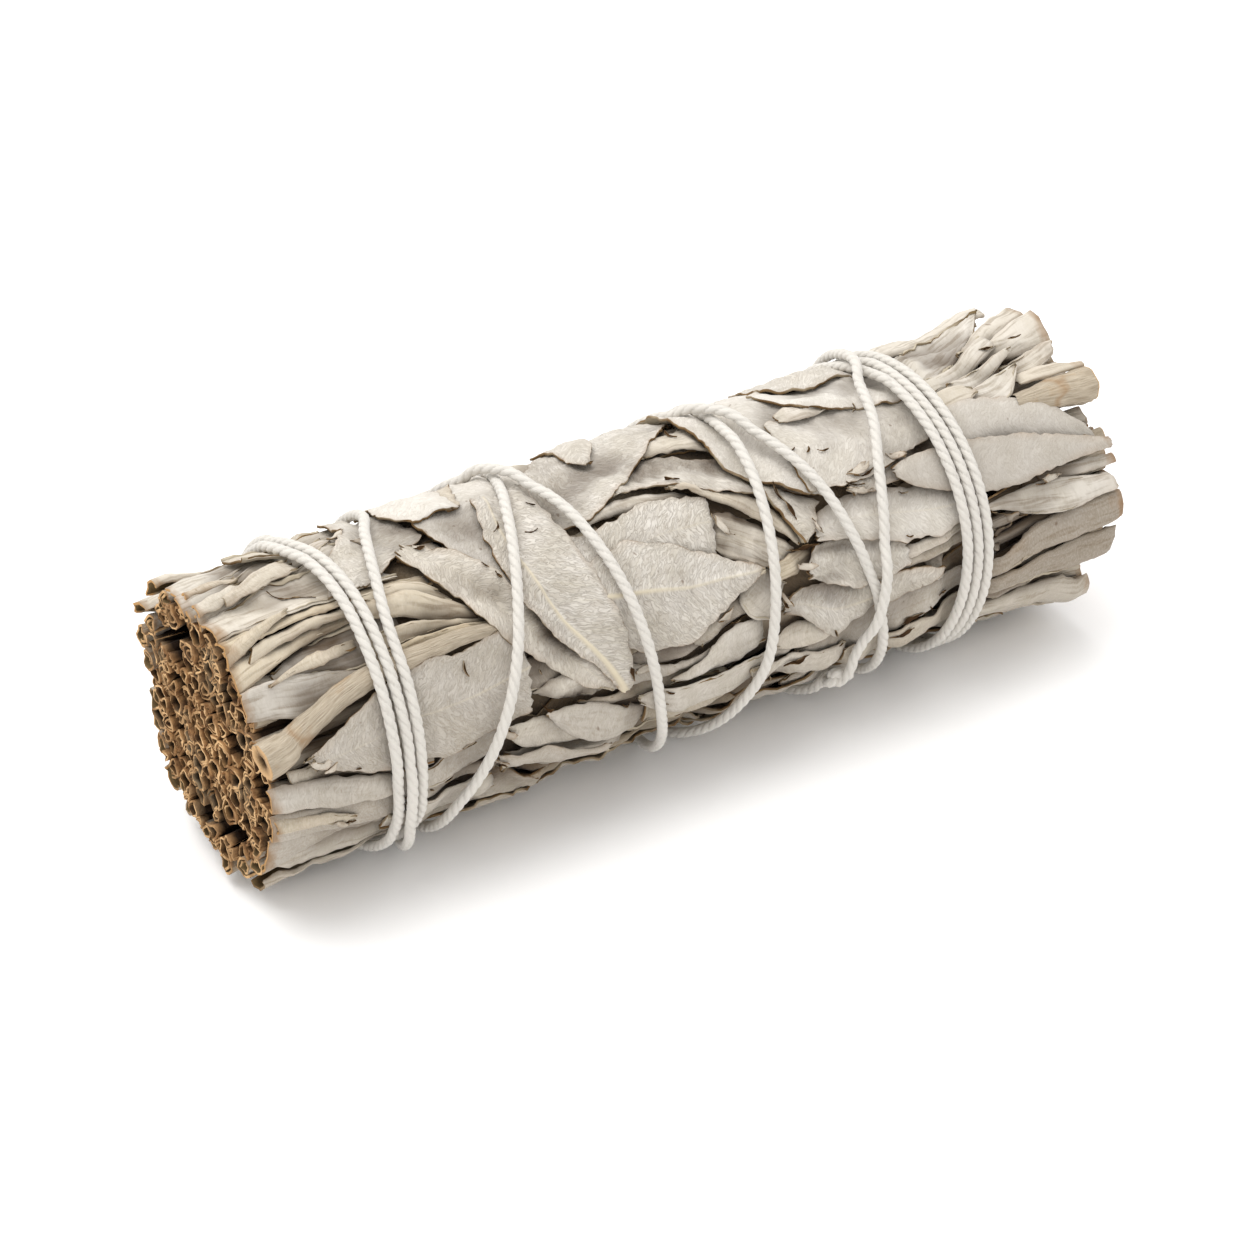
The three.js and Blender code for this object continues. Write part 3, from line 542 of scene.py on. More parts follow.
def lay_roll(end, degrees, radius, foot, slant, turns, start, seed):
    """Lays a rolled leaf from a cut end inwards. slant is how far it leans round, in degrees."""
    share = ROLL_LONG / ROLL_LONG[-1]
    x = end * (LENGTH / 2 - foot - ROLL_LONG)
    arc = (degrees + slant * share) * MM_PER_DEGREE
    shrunk = radius * (1 - 0.5 * smooth_step(0.25, 1, share))
    wound = np.linspace(0, turns, ROLL_COLUMNS)
    turn = start + end * wound * 2 * math.pi
    reach = 1 + 0.07 * unevenness(share[:, None] * 2, 2 * np.cos(turn)[None] + wound[None], 1.6, seed)
    reach = reach * (1 - 0.38 * np.maximum(wound - 0.25, 0))[None] * shrunk[:, None]
    middle = surface_under(x, arc, pile) + shrunk * 0.72
    flare = 1 + 0.14 * (1 - smooth_step(0, 0.12, share))[:, None]
    lip = 0.12 * np.sin(2 * turn + seed) + 0.08 * np.sin(5 * turn + seed)
    grid_x = x[:, None] - end * (lip[None] + 0.2) * (1 - smooth_step(0, 0.08, share))[:, None]
    grid_x = np.clip(grid_x, -LENGTH / 2, LENGTH / 2)
    grid_arc = arc[:, None] + reach * flare * np.cos(turn)[None]
    height = middle[:, None] + reach * flare * 0.85 * np.sin(turn)[None]
    across = np.linspace(-0.95, 0.95, 11)
    top = middle[:, None] + shrunk[:, None] * 0.85 * np.sqrt(1 - across**2)[None]
    add_to_pile(x[:, None] + 0 * top, arc[:, None] + shrunk[:, None] * across[None], top)
    from_cut = ROLL_LONG[:, None] + 0 * grid_x
    return dict(x=grid_x, arc=grid_arc, height=height, along=from_cut, seed=seed,
                from_rib=radius * turn[None] + 0 * grid_x, to_edge=from_cut * 0.3,
                tone=chance.uniform(0.1, 0.6), ribbed=0.0, streaky=1.0, plain=0.2,
                thick=LEAF_THICK)


rolls = []
for end in (-1, 1):
    for i in range(ROLLS_ROUND):
        rolls.append(lay_roll(
            end, degrees=(i + chance.uniform(-0.25, 0.25)) * 360 / ROLLS_ROUND,
            radius=chance.uniform(1.15, 1.6), foot=chance.uniform(0.1, 1.3),
            slant=chance.uniform(-9, 9), turns=chance.uniform(1.15, 1.6),
            start=chance.uniform(0, 2 * math.pi), seed=4000 + len(rolls)))
print("rolled leaves:", len(rolls))

# %% [markdown]
# The side that faces away and the underside are covered with broad leaves in the same way as the
# near side, but with finer grids than the inner ones, because they are looked at too.

# %% Leaves of the far side and the underside
BACK_ANGLES = [134, 158, 184, 212, 240, 268, 294, 316, 340]
BACK_MIDDLES = [-27, -9, 9, 27]
SKIRT_ANGLES = [130, 152, 176, 199, 222, 246, 270, 294, 315]
back = []
for end in (-1, 1):
    for degrees in SKIRT_ANGLES:
        long = chance.uniform(17, 22)
        back.append(plain_leaf(
            x=end * (LENGTH / 2 - long / 2 - 1.2 + chance.uniform(-1.2, 1.0)),
            degrees=degrees + chance.uniform(-4, 4), long=long, wide=chance.uniform(3.4, 5.4),
            turned=chance.uniform(-12, 12), blunt=chance.uniform(0.12, 0.3), streaky=0.7,
            arch=chance.uniform(0.7, 1.2), tone=chance.uniform(0, 0.4), coarse=1.4, tuck=(112, 112),
            seed=1500 + len(back),
        ))
skirt_count = len(back)
for i, degrees in enumerate(BACK_ANGLES):
    for k, middle in enumerate(BACK_MIDDLES):
        if degrees == BACK_ANGLES[0] and k in (1, 2):
            continue
        back.append(plain_leaf(
            x=middle + 4.5 * ((i % 2) - 0.5) + chance.uniform(-2.5, 2.5),
            degrees=degrees + chance.uniform(-5, 5),
            long=chance.uniform(21, 27), wide=chance.uniform(8, 11),
            turned=chance.uniform(-20, 20) + 180 * chance.integers(0, 2),
            blunt=chance.uniform(0.35, 0.7), arch=chance.uniform(0.1, 0.5),
            tone=chance.uniform(0, 0.35), coarse=1.45, crumple=0.2, seed=2000 + len(back),
            rib_high=0.12, ribbed=chance.uniform(0, 0.6),
        ))
print("back leaves:", len(back))

# %% [markdown]
# The leaves that face the viewer are placed one by one, lowest first, as a person builds the bundle
# up. Each row gives the leaf's two margins from foot to tip, how much it arches in mm and how tan
# it has dried, where a tone below zero is a greyer, duller leaf. Some rows end with what else is
# special about the leaf: a margin that curls up, torn ends, or a midrib that stands out.

# %% Lowest leaves of the near side
LOWER_LEAVES = [
    # Skirt at the near end, above
    ("skirt_near_y", [(-45, -33), (-39, -35), (-32, -34)], [(-45, -12), (-38, -9), (-31, -12)],
     0.3, 0.15),
    ("skirt_near_a", [(-49.5, -26), (-44, -30), (-38, -36)], [(-49.5, -15), (-44, -17), (-38, -23)],
     0.6, 0.1),
    ("skirt_near_b", [(-50, -14), (-46, -16), (-42, -21), (-38, -27)],
     [(-50, -5), (-46, -8), (-42, -13), (-37, -18)], 0.7, 0.05),
    ("skirt_near_z", [(-44, -12), (-41, -17), (-37, -20), (-33, -20)],
     [(-43, -8), (-40, -10), (-36, -11), (-32, -12)], 0.6, 0.1),
    ("skirt_near_c", [(-50, -4), (-46, -6.5), (-42, -9.5), (-38, -14), (-34, -18)],
     [(-50, 1.5), (-46, -1), (-42, -5.5), (-38, -9.5), (-33, -13)], 0.7, 0.1),
    ("skirt_near_d", [(-47, 6), (-43, -1), (-38.5, -7), (-34, -12)],
     [(-46, 8), (-41, 3), (-38, 1), (-32, -5)], 0.6, 0.2),
    ("skirt_near_e", [(-50, 4), (-46, -1), (-42, -8), (-38, -14)],
     [(-50, 10), (-46, 6), (-42, -3), (-38, -9)], 0.8, 0.3),
    ("skirt_near_grey_a", [(-46, 38), (-42, 31), (-37, 28.5), (-32, 27)],
     [(-46, 42), (-43, 43), (-38, 47), (-32, 46)], 0.5, -0.15),
    ("skirt_near_tan_a", [(-50, 31), (-45, 25.5), (-41, 22.5), (-36, 21), (-30, 20)],
     [(-50, 43), (-45, 36), (-41, 31), (-36, 28), (-30, 28)], 0.9, 0.7),
    ("skirt_near_tan_c", [(-47, 27), (-43, 22.5), (-39, 21), (-34, 20.5)],
     [(-48, 34), (-44, 29.5), (-40, 26.5), (-34, 26)], 0.8, 0.55),
    ("skirt_near_tan_b", [(-50, 21), (-46, 18.5), (-42, 16.5), (-36, 16), (-27.5, 18)],
     [(-50, 29), (-45, 25), (-41, 22.5), (-36, 21.5), (-27, 24)], 0.9, 0.75),
    ("skirt_near_pale", [(-50, 9), (-46, 5), (-43, 1.5), (-38.5, -2), (-33, -4)],
     [(-50, 23), (-45, 20.5), (-40, 19), (-36, 18), (-30, 17)], 0.7, 0.25),
    ("skirt_near_grey_b", [(-50, 42), (-46, 41), (-42, 43), (-37, 48)],
     [(-50, 53), (-47, 55), (-44, 59), (-41, 57), (-37, 50)], 0.6, -0.2),
    ("strip_near_a", [(-50, -5.5), (-47, -7), (-44.2, -7.5)], [(-50, -1.5), (-47, -3), (-44.3, -5)],
     0.35, 0.45),
    ("strip_near_b", [(-50, 2.5), (-47, 0.5), (-44, -2.5)], [(-50, 9), (-47.5, 7.5), (-44.6, 1.5)],
     0.5, 0.25),
    ("strip_near_c", [(-47.5, 4), (-44.5, -0.5), (-42, -6), (-38.6, -10.5)],
     [(-47, 8), (-43.5, 4.5), (-40.5, 0.5), (-38, -3)], 0.5, 0.35),
    ("strip_near_d", [(-50, 27), (-47.5, 23.5), (-45, 20), (-42.2, 17.5)],
     [(-50, 32), (-47.8, 29), (-45.8, 25.5), (-42.4, 20)], 0.5, 0.6),
    ("strip_near_e", [(-47, 43), (-44, 38.5), (-40, 36), (-37, 35)],
     [(-47, 43.6), (-44, 42), (-40, 41), (-37, 39)], 0.4, 0.5),
    ("twist_d", [(-36, 21), (-32, 20.5), (-29, 22), (-27, 27)],
     [(-36, 26), (-32, 27), (-29, 30), (-26, 33)], 0.6, 0.55),
    ("twist_a", [(-35, 24), (-30, 26), (-27, 32), (-24, 41)],
     [(-35, 30), (-31, 35), (-28, 40), (-24, 43.5)], 0.8, 0.6),
    ("twist_b", [(-36, 36), (-31, 37), (-27, 41), (-23, 44)],
     [(-36, 44), (-31, 43), (-28, 43), (-24, 46)], 0.5, 0.6),
    ("twist_c", [(-36, 44), (-31, 43.5), (-26, 44), (-21, 48)],
     [(-36, 53), (-31, 51), (-27, 49.5), (-22, 52)], 0.7, 0.85),
]
KINDS = {
    "skirt": dict(streaky=0.9, tuck=(118, 118), pleat=0.16, coarse=0.8),
    "twist": dict(streaky=1.0, tuck=(110, 110), pleat=0.2, coarse=0.7),
    "tan": dict(streaky=0.8),
    "roll": dict(streaky=0.7, tuck=(110, 110)),
    "pod": dict(streaky=0.3, tuck=(105, 118), plain=0.5),
    "strip": dict(streaky=0.5, tuck=(95, 105)),
}
front = {}


def lay_all(leaves):
    """Lays the leaves of a table, lowest first, and keeps each by its name"""
    for name, left, right, arch, tone, *special in leaves:
        looks = {**KINDS.get(name.split("_")[0], {}), **dict(*special)}
        front[name] = lay_leaf(left, right, arch, tone, seed=3000 + 10 * len(front), **looks)


lay_all(LOWER_LEAVES)
print("lower leaves:", len(front))

# %% [markdown]
# A few woody stems lie among the leaves and show at the surface. They are laid on the pile too,
# so that the next leaves pass over them.

# %% Woody stems on the pile
STEM_NEAR = [(-49.9, 68, 1.8), (-48.4, 67, 1.74), (-47.3, 65.8, 1.68), (-46.6, 64.6, 1.38),
             (-45, 61.8, 1.22), (-43, 58.5, 1.15), (-40, 54, 1.15), (-36, 50.5, 1.12),
             (-31, 49.5, 1.0), (-27, 48.5, 0.8), (-22, 49.5, 0.5)]
STEM_FAR = [(49.9, 34, 1.85), (47.5, 33.5, 1.75), (45.5, 32.5, 1.6), (43.5, 31.5, 1.25),
            (41, 30.5, 1.0)]
STUB_FAR = [(49.9, 54, 0.7), (48, 54, 0.65), (45, 52, 0.6), (42, 50, 0.6)]


def lay_stem(route):
    """Lays a stem, given as mm along, degrees round and its radius, and returns its middle line"""
    line = smooth_line(np.array(route, float) * (1, MM_PER_DEGREE, 1), 10)
    x, arc, radius = line.T
    height = surface_under(x, arc, pile) + radius * 0.8
    across = np.linspace(-0.95, 0.95, 13)
    heading = np.gradient(line[:, :2], axis=0)
    heading = heading / np.linalg.norm(heading, axis=1)[:, None]
    spread_x = x[:, None] - heading[:, 1:] * across * radius[:, None]
    spread_arc = arc[:, None] + heading[:, :1] * across * radius[:, None]
    top = height[:, None] + radius[:, None] * np.sqrt(1 - across**2)
    add_to_pile(spread_x, spread_arc, top)
    return dict(x=x, arc=arc, height=height, radius=radius)


stems = {"woody_stem_near": lay_stem(STEM_NEAR), "woody_stem_far": lay_stem(STEM_FAR),
         "stem_stub_far": lay_stem(STUB_FAR)}
print("stems on the pile:", len(stems))

# %% [markdown]
# Over these go the leaves that show most: the plump rolls along the lower side, the broad leaves
# of the middle, the covers on top and the skirt of the far end. They are laid in this order, so
# each one overlaps those before it.

# %% Upper leaves of the near side
UPPER_LEAVES = [
    # Below the near end
    ("pod_near_a", [(-50, 104), (-46, 105), (-41, 108), (-34, 116)],
     [(-50, 124), (-46, 121), (-41, 119), (-34, 126)], 0.8, -0.4),
    ("pod_near_b", [(-50, 91), (-47, 92), (-43, 95), (-39, 99), (-34, 104)],
     [(-50, 103), (-46, 106), (-42, 110), (-38, 114), (-33, 117)], 0.9, -0.45),
    ("pod_near_c", [(-49.6, 92), (-46, 94), (-43, 98), (-40.6, 104)],
     [(-49.5, 97), (-46, 99), (-43.5, 103), (-41, 107)], 0.35, 0.5),
    ("pod_near_d", [(-47.5, 76), (-44, 77), (-41, 80), (-38, 84)],
     [(-47, 83), (-43, 84), (-41, 86), (-38, 90)], 0.5, 0.3),
    ("pod_near_e", [(-50, 79), (-46, 81), (-42, 84.5), (-38, 90), (-34.5, 98)],
     [(-50, 88), (-46.5, 91), (-42.5, 95), (-39, 99), (-35, 103)], 0.9, -0.2),
    ("pod_near_f", [(-35, 103), (-32, 104), (-28, 106), (-24, 108)],
     [(-35, 113), (-31, 114), (-27, 113), (-24, 116)], 0.7, -0.4),
    ("pod_near_g", [(-37, 114), (-31, 113), (-25, 115)], [(-37, 127), (-31, 128), (-24, 128)], 0.7, 0.1),
    ("pod_near_h", [(-36, 92), (-33, 95), (-30.5, 92), (-27.5, 87.5), (-24, 86)],
     [(-36, 103), (-32, 104), (-28, 104), (-24.5, 101)], 0.6, -0.2, dict(curl=(0.25, 0))),
    ("pod_gap_a", [(-23, 64), (-19.5, 65), (-15, 69)], [(-22.5, 79), (-19, 79), (-15, 80)], 0.4, 0.1),
    ("pod_gap_b", [(-20.8, 79), (-17.5, 74), (-14, 76), (-11.5, 83)],
     [(-20, 81), (-17.5, 86.5), (-14.5, 89.5), (-11.8, 89)],
     0.6, 0.15, dict(crumple=0.35, torn=(0.4, 0.2))),
    ("leaf_near_broad", [(-45.8, 72), (-42, 65.5), (-38, 59), (-33, 52.5), (-28, 53), (-21, 50)],
     [(-44.8, 76), (-42, 81), (-38, 87), (-33, 90), (-28, 89.5), (-21.6, 85)],
     0.35, -0.3, dict(torn=(0.7, 0.25), crumple=0.07, rib_high=0.1, ribbed=0.3, plain=0.35,
                      follow=(8, 12))),
    # Below the middle
    ("pod_mid_m", [(-15, 99), (-10, 97), (-4, 99), (2, 103)],
     [(-15, 116), (-10, 121), (-3, 122), (4, 119)], 0.3, 0.35),
    ("pod_mid_a", [(-24, 104), (-20, 106), (-15, 113), (-10, 117)],
     [(-24, 116), (-19, 121), (-14, 125), (-10, 126)], 0.7, 0.1),
    ("pod_mid_b", [(-16, 90), (-11, 92), (-6, 91), (-2, 88)], [(-15, 94), (-10, 98), (-5, 98), (-1, 93)],
     0.5, 0.4),
    ("pod_mid_c", [(-24.5, 88), (-21, 89.5), (-17.5, 95), (-15, 101), (-12, 107)],
     [(-24, 94), (-22.5, 101), (-19, 106), (-15, 109), (-12, 111)], 0.9, 0.1),
    ("pod_mid_d", [(-20, 88), (-16, 89), (-12.5, 95), (-9, 103), (-7.5, 107)],
     [(-18.5, 97), (-16, 105), (-13, 112), (-10, 114), (-8, 112)], 0.9, -0.2),
    ("pod_mid_e", [(-25, 102), (-21, 103.5), (-17, 108), (-12, 115)],
     [(-24.5, 108), (-21, 113), (-16, 117), (-12, 119)], 0.7, -0.3),
    ("pod_mid_f", [(-10, 77), (-6, 78), (-3, 80), (0, 76)], [(-9, 84), (-6, 86), (-3, 85), (0, 81)],
     0.6, -0.2),
    ("pod_mid_g", [(-3, 79), (-1, 74), (2, 70), (5, 70)], [(-2, 84), (0, 81), (3, 77), (5, 77)],
     0.7, 0.25),
    ("pod_mid_h", [(-12, 79), (-8, 84), (-4, 87), (-1, 85)], [(-12, 88), (-8, 91), (-4, 91), (0, 88)],
     0.5, -0.1),
    ("pod_mid_i", [(-8, 104), (-3, 105), (2, 107), (6, 106)], [(-8, 114), (-3, 119), (2, 121), (7, 118)],
     0.6, 0.5),
    ("pod_mid_k", [(-5.5, 93), (-3, 88), (0, 81.5), (2.5, 78.5), (5.5, 80)],
     [(-5, 95), (-2, 96), (1, 97), (4, 96), (6, 92)], 0.9, 0.05),
    ("pod_mid_j", [(-9.5, 96), (-6, 95.5), (-2, 96), (2, 96.5), (6, 97), (10.3, 100)],
     [(-9, 100), (-6.5, 108), (-3, 112), (2, 112), (6, 107), (10.3, 101.5)],
     1.0, 0.05, dict(curl=(0.25, 0), torn=(0.3, 0.05))),
    ("pod_mid_l", [(9, 71), (8.5, 66), (8, 62), (6, 60)], [(6.5, 83), (4, 78), (3, 71), (4, 65)],
     0.5, 0.15),
    # Middle, above the pods
    ("tan_behind", [(-8.5, 22), (-8.3, 40), (-8, 60), (-7, 76)],
     [(-13.5, 22), (-13.3, 40), (-12.5, 60), (-11.5, 78)], 0.4, 0.7),
    ("tan_wrinkled", [(2.6, 33), (5, 35), (8, 44), (10.5, 58)],
     [(1.5, 46), (3.5, 54), (6.5, 60), (9, 63)],
     0.9, 0.25, dict(crumple=0.2, pleat=0.25, plain=0.1, ribbed=0.3, follow=(9, 6))),
    ("tan_twist", [(7, 61), (9.5, 59), (13, 58)], [(8, 68), (10.5, 68), (13.5, 63)],
     0.6, 0.7, dict(crumple=0.3)),
    ("roll_pale", [(-10, 20.5), (-6, 16.5), (-3, 17), (2, 20)], [(-10, 22), (-5, 22), (0, 23), (3, 24)],
     0.6, 0.1),
    ("leaf_cut_short", [(-12.8, 22), (-9.5, 26), (-6, 24), (-2, 22), (0, 23.5), (3.4, 27.5)],
     [(-13, 50), (-8, 52), (-3, 54), (1.6, 51)],
     0.45, 0, dict(rib=0.45, crumple=0.08, rib_high=0.06, ribbed=0.15, plain=0.2, follow=(6, 9))),
    ("roll_long", [(0, 17), (3, 21), (6, 26), (8.5, 32), (10, 42), (11.7, 55)],
     [(0, 20.5), (3, 26), (5.5, 34), (7.5, 41), (9, 48), (10.8, 57)], 0.8, 0.4),
    ("leaf_under_cover", [(-6.5, 13), (-3, 5), (0, -4), (3, 0.5), (5, 5), (7.5, 10)],
     [(-6, 15.5), (-1, 17), (3, 24), (6, 29), (8.8, 31)], 0.3, 0.05),
    ("roll_below_cover", [(-0.5, -8), (2.5, -11), (5, -13), (7.5, -15)],
     [(0.5, -3.5), (3, -1.5), (5, 0.5), (7.5, 4)], 0.6, 0.3),
    ("leaf_over_top", [(-14, -6), (-10, -22), (-4, -36), (3, -44)],
     [(-12.7, 19), (-8.5, 19.5), (-5, 14), (0, 0), (4, -12), (8, -28)], 0.25, 0),
    ("leaf_tip_over", [(-1, -40), (-2.6, -20), (-4.7, -7)],
     [(-7, -40), (-6.7, -16), (-6.9, -9), (-5.7, -5)], 0.4, 0.05),
    ("leaf_pointed", [(-12.8, 38), (-10, 36), (-7, 35.5), (-4.5, 38), (-1.5, 44), (2, 51), (6.4, 60.3)],
     [(-12.8, 66), (-10, 74), (-7, 78), (-3, 78), (1, 71), (4, 66), (6.4, 61.6)],
     0.5, 0, dict(rib=0.46, rib_high=0.4, crumple=0.06, ribbed=0.9, plain=0.2, foot_rib=1, coarse=0.7,
                  follow=(6, 10))),
    # Top, near end
    ("small_holed", [(-28.7, 7), (-27, 4.3), (-24.5, 2.5)], [(-27.8, 13), (-25.5, 14), (-23, 16)],
     0.3, 0.1),
    ("cover_near_top", [(-37.5, 17), (-36.3, 8), (-34.5, -4), (-32.5, -12), (-31.5, -26), (-31, -42)],
     [(-33.5, 18), (-30.5, 12), (-28.6, 6.5), (-25.3, 2), (-25.5, -14), (-26, -42)],
     0.3, 0.03, dict(crumple=0.12, follow=(5, 8))),
    ("cover_mid_top", [(-12.2, -38), (-12.2, -10), (-12.5, 10), (-12.6, 22), (-13, 36)],
     [(-25, -38), (-25.2, -4), (-24.2, 10), (-22.3, 24), (-19, 40)],
     0.3, 0, dict(plain=0.6, crumple=0.1, follow=(6, 10))),
    ("fold_over_top", [(-18, -28), (-19.2, -14), (-19.5, -7)], [(-20.2, -28), (-21.2, -14), (-21.4, -5)],
     0.6, 0.4),
    ("leaf_squared", [(-19.4, -46), (-20.2, -25), (-20.4, -12), (-20.2, -4.5)],
     [(-26.8, -46), (-27, -25), (-26.9, -14), (-25.3, -3.5)],
     0.35, 0, dict(plain=0.7, crumple=0.12, follow=(5, 8))),
    ("leaf_slanting",
     [(-27.3, 5), (-24.6, 12), (-22.3, 20), (-20.8, 28), (-19.3, 42), (-16, 60), (-12.6, 80),
      (-11.7, 88)],
     [(-29.2, 9), (-28, 17), (-26, 34), (-24, 48), (-21.5, 60), (-18.5, 72), (-15, 83), (-12.5, 88.5)],
     0.35, 0.12, dict(rib_high=0.06, ribbed=0.15, torn=(0.5, 0.1), curl=(0.3, 0))),
    ("leaf_crossing",
     [(-12.3, -8), (-12.5, 14), (-12, 32), (-11.1, 50), (-10.2, 66), (-10.0, 80), (-10.4, 89.3)],
     [(-18.5, -8), (-20, 14), (-20, 38), (-18.7, 54), (-16.6, 65), (-14.0, 76), (-11.4, 90)],
     0.5, 0, dict(rib=0.72, rib_high=0.6, crumple=0.07, ribbed=1.25, plain=0.15, coarse=0.62,
                  follow=(4, 8))),
    # Far from the middle
    ("pod_right_a", [(10, 104), (14, 98), (19, 94), (26, 92), (33, 91)],
     [(10, 113), (15, 117), (21, 115), (27, 107), (33, 102)], 0.7, -0.2),
    ("pod_right_b", [(4, 102), (8, 101), (12, 104), (16, 108)],
     [(5, 116), (9, 118), (13, 120), (17, 120)], 0.6, 0.15),
    ("pod_right_c", [(6.3, 92), (8.5, 89.5), (12, 89), (15, 93)],
     [(6.5, 95), (9, 98), (12, 98.5), (15, 97)], 0.7, 0.2),
    ("pod_right_d", [(16, 112), (21, 111), (27, 108), (33, 106)],
     [(16, 124), (21, 126), (27, 124), (33, 120)], 0.7, 0.35),
    ("leaf_upright", [(29, 76), (28, 84), (28, 92)], [(24, 75), (25.5, 82), (26, 90)], 0.3, 0.1),
    ("strip_right_a", [(19, 78), (23, 76), (27, 74), (31, 73)],
     [(19, 82), (24, 81), (28, 79.5), (31, 79)], 0.5, 0.3),
    ("strip_right_b", [(18, 72), (22, 71), (26, 71), (31, 69)],
     [(19, 78), (23, 76.5), (27, 75), (31, 73)], 0.5, 0.15),
    ("leaf_right_pointed", [(17, 80), (21, 80.5), (25, 82), (27.6, 85.8)],
     [(17, 95), (21, 93.5), (25, 90.5), (27.6, 86.4)],
     0.6, 0.05, dict(torn=(0.1, 0.02), curl=(0.1, 0.2))),
    ("leaf_fan", [(8.6, 78), (10.5, 74.5), (14, 76), (17, 78), (20, 83)],
     [(8.4, 82), (10, 86), (12, 93), (14, 97.5), (20, 92)],
     0.5, 0, dict(torn=(0.35, 0.2), crumple=0.25, curl=(0.15, 0), rib_high=0.12, ribbed=0.35)),
    ("leaf_two_ridged", [(11.2, 65), (12.6, 60), (15.5, 59), (19, 63), (23, 69)],
     [(11.4, 71), (13.5, 75), (15.5, 78.5), (18, 80.5), (23, 78)],
     0.5, 0, dict(crumple=0.12, torn=(0.3, 0.2), pleat=0.2, follow=(5, 6))),
    ("leaf_smooth_right", [(12.6, 53), (15.3, 46), (18.5, 44), (23, 46), (27, 50), (31, 55)],
     [(13.2, 57.5), (16, 60), (19.5, 64.5), (23, 68.5), (27, 71), (31, 69.5)],
     0.45, 0.02, dict(torn=(0.35, 0.1), rib_high=0.08, ribbed=0.2, plain=0.6, crumple=0.12,
                      follow=(5, 8))),
    ("leaf_slit", [(15, 42), (14, 47), (13.2, 52), (11.6, 56.5)],
     [(9.3, 28.5), (9.7, 38), (10.3, 48), (11, 56)], 0.5, 0.1, dict(curl=(0, 0.6))),
    # Right of the middle, above
    ("cover_right_top", [(17, -42), (18.4, -10), (19.4, 12), (18, 32), (16.5, 42)],
     [(5.6, -42), (6.4, -8), (6.8, 5), (6.5, 18), (9.4, 29), (13.4, 38)],
     0.25, 0, dict(curl=(0, 0.3), crumple=0.14, plain=0.6, follow=(5, 8))),
    ("cover_far_a", [(33, 26), (29, 28), (24, 30), (19, 33)], [(33, 40), (29, 42), (24, 45), (19, 45.5)],
     0.3, 0.05, dict(crumple=0.3)),
    ("cover_far_b", [(34, 3), (28, 3), (22, 2), (14, 4)], [(34, 28), (28, 34), (22, 40), (14, 39)],
     0.2, 0.03, dict(crumple=0.14, plain=0.6, follow=(5, 8))),
    ("roll_far_small", [(15.3, 3), (17, 0.5), (19.5, 0), (22.5, -1)],
     [(15.5, 6), (17.5, 8.3), (20, 7), (22.5, 4)], 0.5, 0.15),
    ("cover_far_c", [(33, -16), (27, -18), (21, -18), (15.5, -17)],
     [(33, 9), (28, 11), (24.5, 8), (18.5, 4)], 0.2, 0, dict(curl=(0, 0.1), plain=0.7)),
    ("cover_far_d", [(31, -44), (25, -46), (18, -46)], [(31, -15), (25, -12), (17, -15)], 0.2, 0),
    # Over the top, where the twine leaves the pile
    ("strip_top_a", [(-43, -29), (-40, -28), (-37, -28)], [(-42.5, -14), (-40, -12), (-37.5, -13)],
     0.25, 0.3, dict(follow=(9, 4))),
    # Skirt at the far end
    ("skirt_far_a", [(34, -40), (40, -48), (49, -50)], [(34, -24), (40, -30), (49, -32)], 0.7, 0.2),
    ("skirt_far_b", [(33, -13), (36.5, -23), (41, -29), (48, -32)],
     [(33, 7.5), (36, 6.5), (38.5, 0), (41, -8), (43.5, -16)], 0.5, 0.05),
    ("skirt_far_c", [(40, -5), (44, -14), (49.5, -20)], [(41, 0), (45, -6), (49.8, -8)], 0.8, 0.2),
    ("skirt_far_d", [(41, 0), (45, -4), (50, -8)], [(41, 4.5), (45, 7), (50, 8.5)], 0.9, 0.2),
    ("skirt_far_e", [(32, 8), (37, 5), (40, -2), (43, -6)], [(32, 15), (37, 12.5), (40, 7), (43.5, 3)],
     0.6, 0.1),
    ("skirt_far_f", [(42.5, 11), (47, 9.5), (49.5, 9)], [(43, 17), (46, 19), (49, 14)], 0.7, 0.2),
    ("skirt_far_g", [(42.5, 18), (46, 19), (50, 24.5)], [(43, 24), (46, 26.5), (50, 27.5)], 0.6, 0.35),
    ("skirt_far_h", [(35, 14), (38, 11), (41, 8), (44.6, 6)],
     [(34.5, 17), (37.5, 20), (40.5, 15), (44.7, 7.5)], 0.5, 0.1),
    ("skirt_far_i", [(36.5, 20), (40, 16.5), (43.8, 14)], [(37, 26), (40.5, 28.5), (43.9, 15.5)],
     0.5, 0.1),
    ("skirt_far_j", [(31.5, 17), (34, 15.5), (36.3, 17), (37.7, 20)],
     [(31.5, 24), (34.5, 25.5), (36.5, 24), (37.7, 21.5)], 0.6, 0.3),
    ("skirt_far_k", [(39, 62.5), (41.5, 63), (43, 64)], [(39, 66), (41.5, 67), (43, 66.5)], 0.5, 0.1),
    ("skirt_far_l", [(41, 62), (45, 61.5), (50, 62.5)], [(41, 66), (45, 67), (50, 66.5)], 0.6, -0.3),
    # The lowest leaves of the far skirt are grey-brown, and their low tone is also painted shade of the
    # underside.
    ("skirt_far_m", [(32, 103), (37, 104), (42, 103), (46, 102)],
     [(32, 116), (38, 118), (43, 117), (46, 114)], 0.7, -0.7),
    ("skirt_far_n", [(32, 95), (36, 93), (41, 90), (47, 86), (49.6, 85)],
     [(32, 101), (36, 99), (41, 95), (46, 92), (49.4, 90)], 0.8, -0.65),
    ("skirt_far_o", [(33, 100), (38, 98), (43, 94.5), (49.2, 91.5)],
     [(33, 109), (38, 110), (43, 109), (48.2, 105)], 0.7, -0.8),
    ("skirt_far_p", [(32, 92), (36.5, 88), (40.5, 82.5), (45, 78.5), (50, 77.5)],
